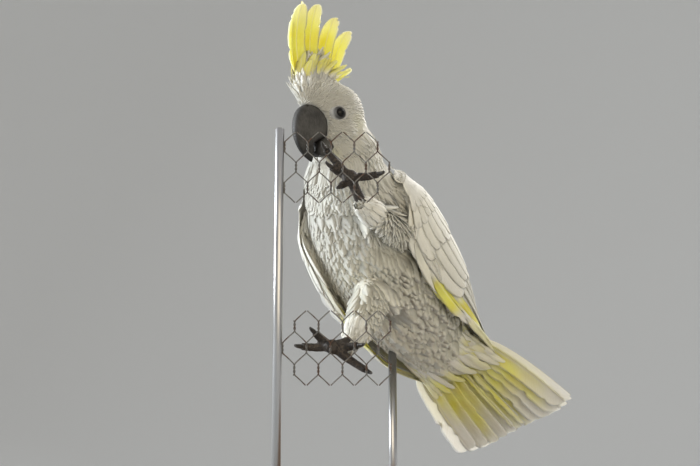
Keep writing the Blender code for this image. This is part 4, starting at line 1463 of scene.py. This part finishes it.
def scaled_leg(side):
    """One leg: shank and foot welded, with scales about two millimetres across."""
    nodes = (f"shank_{side}", f"foot_{side}")
    obj = welded(f"leg_{side}", nodes, LEG_VOXEL, 4)
    co, normal = vertices(obj.data), vertices(obj.data, "normal")
    near = (noise.voronoi(Vector(p) * SCALES_A_METRE)[0] for p in co)
    crease = np.array([1 - min(1.0, (gaps[1] - gaps[0]) / CREASE_SHARE) for gaps in near])
    sunk = (crease**1.5 * CREASE_DEPTH - SCALE_RISE)[:, None]
    obj.data.vertices.foreach_set("co", (co - normal * sunk).ravel())
    noted(obj.data, "crease", crease)
    handed(obj, leg_scales, "leg_skin", *nodes)
    print(obj.name, len(co), "vertices")


for side, _ in SIDES:
    scaled_leg(side)


# %% Claws
def claw_paint(spot):
    """Black-brown horn, streaked along."""
    streak = spot.noise(420, 4)
    colour = streak.mix((0.012, 0.010, 0.009), (0.050, 0.042, 0.036))
    return {"Base_Color": colour, "Roughness": 0.30 + streak * 0.25, "Normal": streak.bump(0.3, 0.0002)}


claw_horn = finish("claw_horn", claw_paint, Specular_IOR_Level=0.5)


def refined(node, name, finish_used, slot, angle=None):
    """A copy of a solid: rounded and finer, or as it is with its edges sharp above an angle in degrees."""
    mesh = bmesh.new()
    mesh.from_mesh(NODES[node].data)
    bmesh.ops.remove_doubles(mesh, verts=mesh.verts, dist=SAME_POINT)
    if angle is None:
        bmesh.ops.join_triangles(mesh, faces=mesh.faces, angle_face_threshold=0.7, angle_shape_threshold=0.9)
    obj = shown(name, emptied(mesh, name))
    if angle is None:
        smooth = obj.modifiers.new("smooth", "SUBSURF")
        smooth.levels = smooth.render_levels = 2
        worked_in(obj)
    obj.data.shade_smooth()
    if angle is not None:
        obj.data.set_sharp_from_angle(angle=math.radians(angle))
    handed(obj, finish_used, slot, node)


for side, _ in SIDES:
    for n in range(1, 5):
        refined(f"claw_{side}_{n}", f"talon_{side}_{n}", claw_horn, "claw_horn")
print("talons: 8")

# %% [markdown]
# ## Wire netting and the stand
# The bird holds two cut pieces of hexagonal wire netting. A steel rod carries them and a second one
# carries the body, both let into a plain wooden base.


# %% Rusty wire, steel and wood
def wire_paint(spot):
    """Old galvanised wire: dull zinc with brown rust in patches."""
    rust = spot.noise(130, 5).step(0.42, 0.66)
    zinc = spot.noise(500, 3).mix((0.13, 0.128, 0.122), (0.24, 0.235, 0.225))
    brown = spot.noise(700, 3).mix((0.050, 0.026, 0.016), (0.125, 0.062, 0.034))
    height = spot.noise(1500, 3) + rust * spot.noise(2600, 2)
    return {
        "Base_Color": rust.mix(zinc, brown),
        "Metallic": 0.75 - rust * 0.7,
        "Roughness": 0.42 + rust * 0.4,
        "Normal": height.bump(0.5, 0.0001),
    }


def steel_paint(spot):
    """Brushed steel."""
    brushed = spot.stretched((1800, 1800, 30)).noise(1.0, 2)
    colour = brushed.mix((0.42, 0.42, 0.43), (0.55, 0.55, 0.56))
    return {"Roughness": 0.22 + brushed * 0.20, "Base_Color": colour}


def wood_paint(spot):
    """Oiled oak: long grain, rings that waver, small dark pores."""
    rings = (spot.stretched((2.2, 26, 14)).noise(1.0, 3) * 26).sin()
    grain = spot.stretched((14, 420, 420)).noise(1.0, 4)
    pores = spot.stretched((90, 1500, 1500)).noise(1.0, 2).step(0.62, 0.72)
    colour = (rings * 0.22 + grain * 0.75).step(0.05, 0.95).mix((0.115, 0.060, 0.028), (0.265, 0.155, 0.080))
    return {
        "Base_Color": (pores * 0.6).mix(colour, (0.050, 0.026, 0.012)),
        "Roughness": 0.38 + grain * 0.20,
        "Normal": (grain - pores * 0.8).bump(0.3, 0.0003),
    }


old_wire = finish("old_wire", wire_paint)
rod_steel = finish("rod_steel", steel_paint, Metallic=1.0)
oak = finish("oiled_oak", wood_paint, Specular_IOR_Level=0.45)
print("finishes:", [made.name for made in (old_wire, rod_steel, oak)])


# %% Netting, rods and base
def wire_tree():
    """Open polylines in, round wires out."""
    inputs = {"Path": "Geometry", "Radius": "Float", "Sides": "Int", "Finish": "Material"}
    tree, gate = node_group("draw_wire", inputs, "Wires")
    line = gate["Path"].node("GeometryNodeMeshToCurve", None, Mesh=gate["Path"])
    around = {"Resolution": gate["Sides"], "Radius": gate["Radius"]}
    ring = line.node("GeometryNodeCurvePrimitiveCircle", None, **around)
    wires = line.node("GeometryNodeCurveToMesh", {}, Curve=line, Profile_Curve=ring, Fill_Caps=True)
    wires = wires.node("GeometryNodeRealizeInstances", None, Geometry=wires)
    return led_out(tree, wires.node("GeometryNodeSetMaterial", None, Geometry=wires, Material=gate["Finish"]))


NET_Y, NET_PITCH, NET_TWIST, NET_RISE, NET_ROWS, NET_COLUMNS = -0.110, 0.0205, 0.0100, 0.0085, 3, 4
PLY, WIRE_RADIUS, WIRE_BOW = 0.00058, 0.00054, 0.00025
DRAW = wire_tree()


def netting(node, first, shift):
    """Hexagonal netting: each upright side is two wires twisted round each other, each slant is one wire."""
    uprights, slants = set(), set()
    for r in range(NET_ROWS):
        for c in range(NET_COLUMNS):
            x = first[0] + (c + (r % 2) * shift) * NET_PITCH
            z = first[1] + r * (NET_TWIST + NET_RISE)
            foot, head = z - NET_TWIST / 2, z + NET_TWIST / 2
            for edge in (x - NET_PITCH / 2, x + NET_PITCH / 2):
                uprights.add((round(edge, 6), round(z, 6)))
                slants.add((round(x, 6), round(head + NET_RISE, 6), round(edge, 6), round(head, 6)))
                slants.add((round(edge, 6), round(foot, 6), round(x, 6), round(foot - NET_RISE, 6)))
    lines = []
    for x, z in sorted(uprights):
        for start in (0, math.pi):
            turns = [(start + 3 * math.pi * k / 20, z + NET_TWIST * (0.5 - k / 20)) for k in range(21)]
            lines.append([(x + math.cos(a) * PLY, NET_Y + math.sin(a) * PLY, h) for a, h in turns])
    for x0, z0, x1, z1 in sorted(slants):
        way = 1 if x1 > x0 else -1
        ends = ((x0 + way * PLY, z0), (x1 - way * PLY, z1))
        steps = [(*between(*ends, k / 6), math.sin(math.pi * k / 6) * WIRE_BOW) for k in range(7)]
        lines.append([(x, NET_Y + bow, z + bow) for x, z, bow in steps])
    starts = np.cumsum([0] + [len(line) for line in lines])
    edges = [(s + k, s + k + 1) for s, line in zip(starts, lines) for k in range(len(line) - 1)]
    obj = shown(f"wire_{node}", mesh_of(f"wire_{node}", [p for line in lines for p in line], [], edges))
    run_nodes(obj, DRAW, Radius=WIRE_RADIUS, Sides=8, Finish=old_wire)
    obj.data.shade_smooth()
    obj.data.set_sharp_from_angle(angle=math.radians(60))
    handed(obj, old_wire, "wire", node)
    print(obj.name, len(lines), "wires,", len(obj.data.polygons), "faces")


netting("netting_upper", (-0.0925, 0.3180), 0.5)
netting("netting_lower", (-0.08225, 0.1585), -0.5)
for node in ("stand_rod_perch", "stand_rod_body"):
    refined(node, node.replace("stand", "steel"), rod_steel, "steel", angle=50)
NODES["stand_base"].data.materials.clear()
NODES["stand_base"].data.materials.append(oak)
print("stand finished")

# %% [markdown]
# ## Floor, then tidying up
# A studio bowl: a pale floor that turns up into a low wall all the way round in one curve, so that no
# horizon crosses the bird from any side, and the light still falls in over the rim.

# %% Studio bowl
FLOOR, BEND, RIM, AROUND = 2.2, 1.8, 2.4, 96
bends = np.linspace(0.08, math.pi / 2, 16)
profile = [(1.0, 0.0), (FLOOR, 0.0)]
profile += [(FLOOR + math.sin(a) * BEND, BEND - math.cos(a) * BEND) for a in bends] + [(FLOOR + BEND, RIM)]
turns = np.linspace(0, 2 * math.pi, AROUND, False)
verts = [(r * math.cos(a), r * math.sin(a), z) for r, z in profile for a in turns] + [(0.0, 0.0, 0.0)]
faces = [(len(verts) - 1, k, (k + 1) % AROUND) for k in range(AROUND)]
for i in range(len(profile) - 1):
    ring = [(i * AROUND + k, i * AROUND + (k + 1) % AROUND) for k in range(AROUND)]
    faces += [(a, a + AROUND, b + AROUND, b) for a, b in ring]


def sweep_paint(spot):
    """Grey paper that grows paler away from the bird."""
    cloud = spot.noise(2.5, 2)
    outward = (spot.far_from((0.0, 0.0, 0.0)) * 0.8 + cloud * 0.2).step(0.6, 2.4)
    return {"Base_Color": outward.mix((0.42, 0.425, 0.425), (0.74, 0.745, 0.745))}


sweep = shown("studio_sweep", mesh_of("studio_sweep", verts, faces))
sweep.data.shade_smooth()
sweep.data.materials.append(finish("matt_paper", sweep_paint, Roughness=0.9))
print("bowl:", len(faces), "faces")

# %% Tidy up
for obj in VANES.values():
    bpy.data.objects.remove(obj)
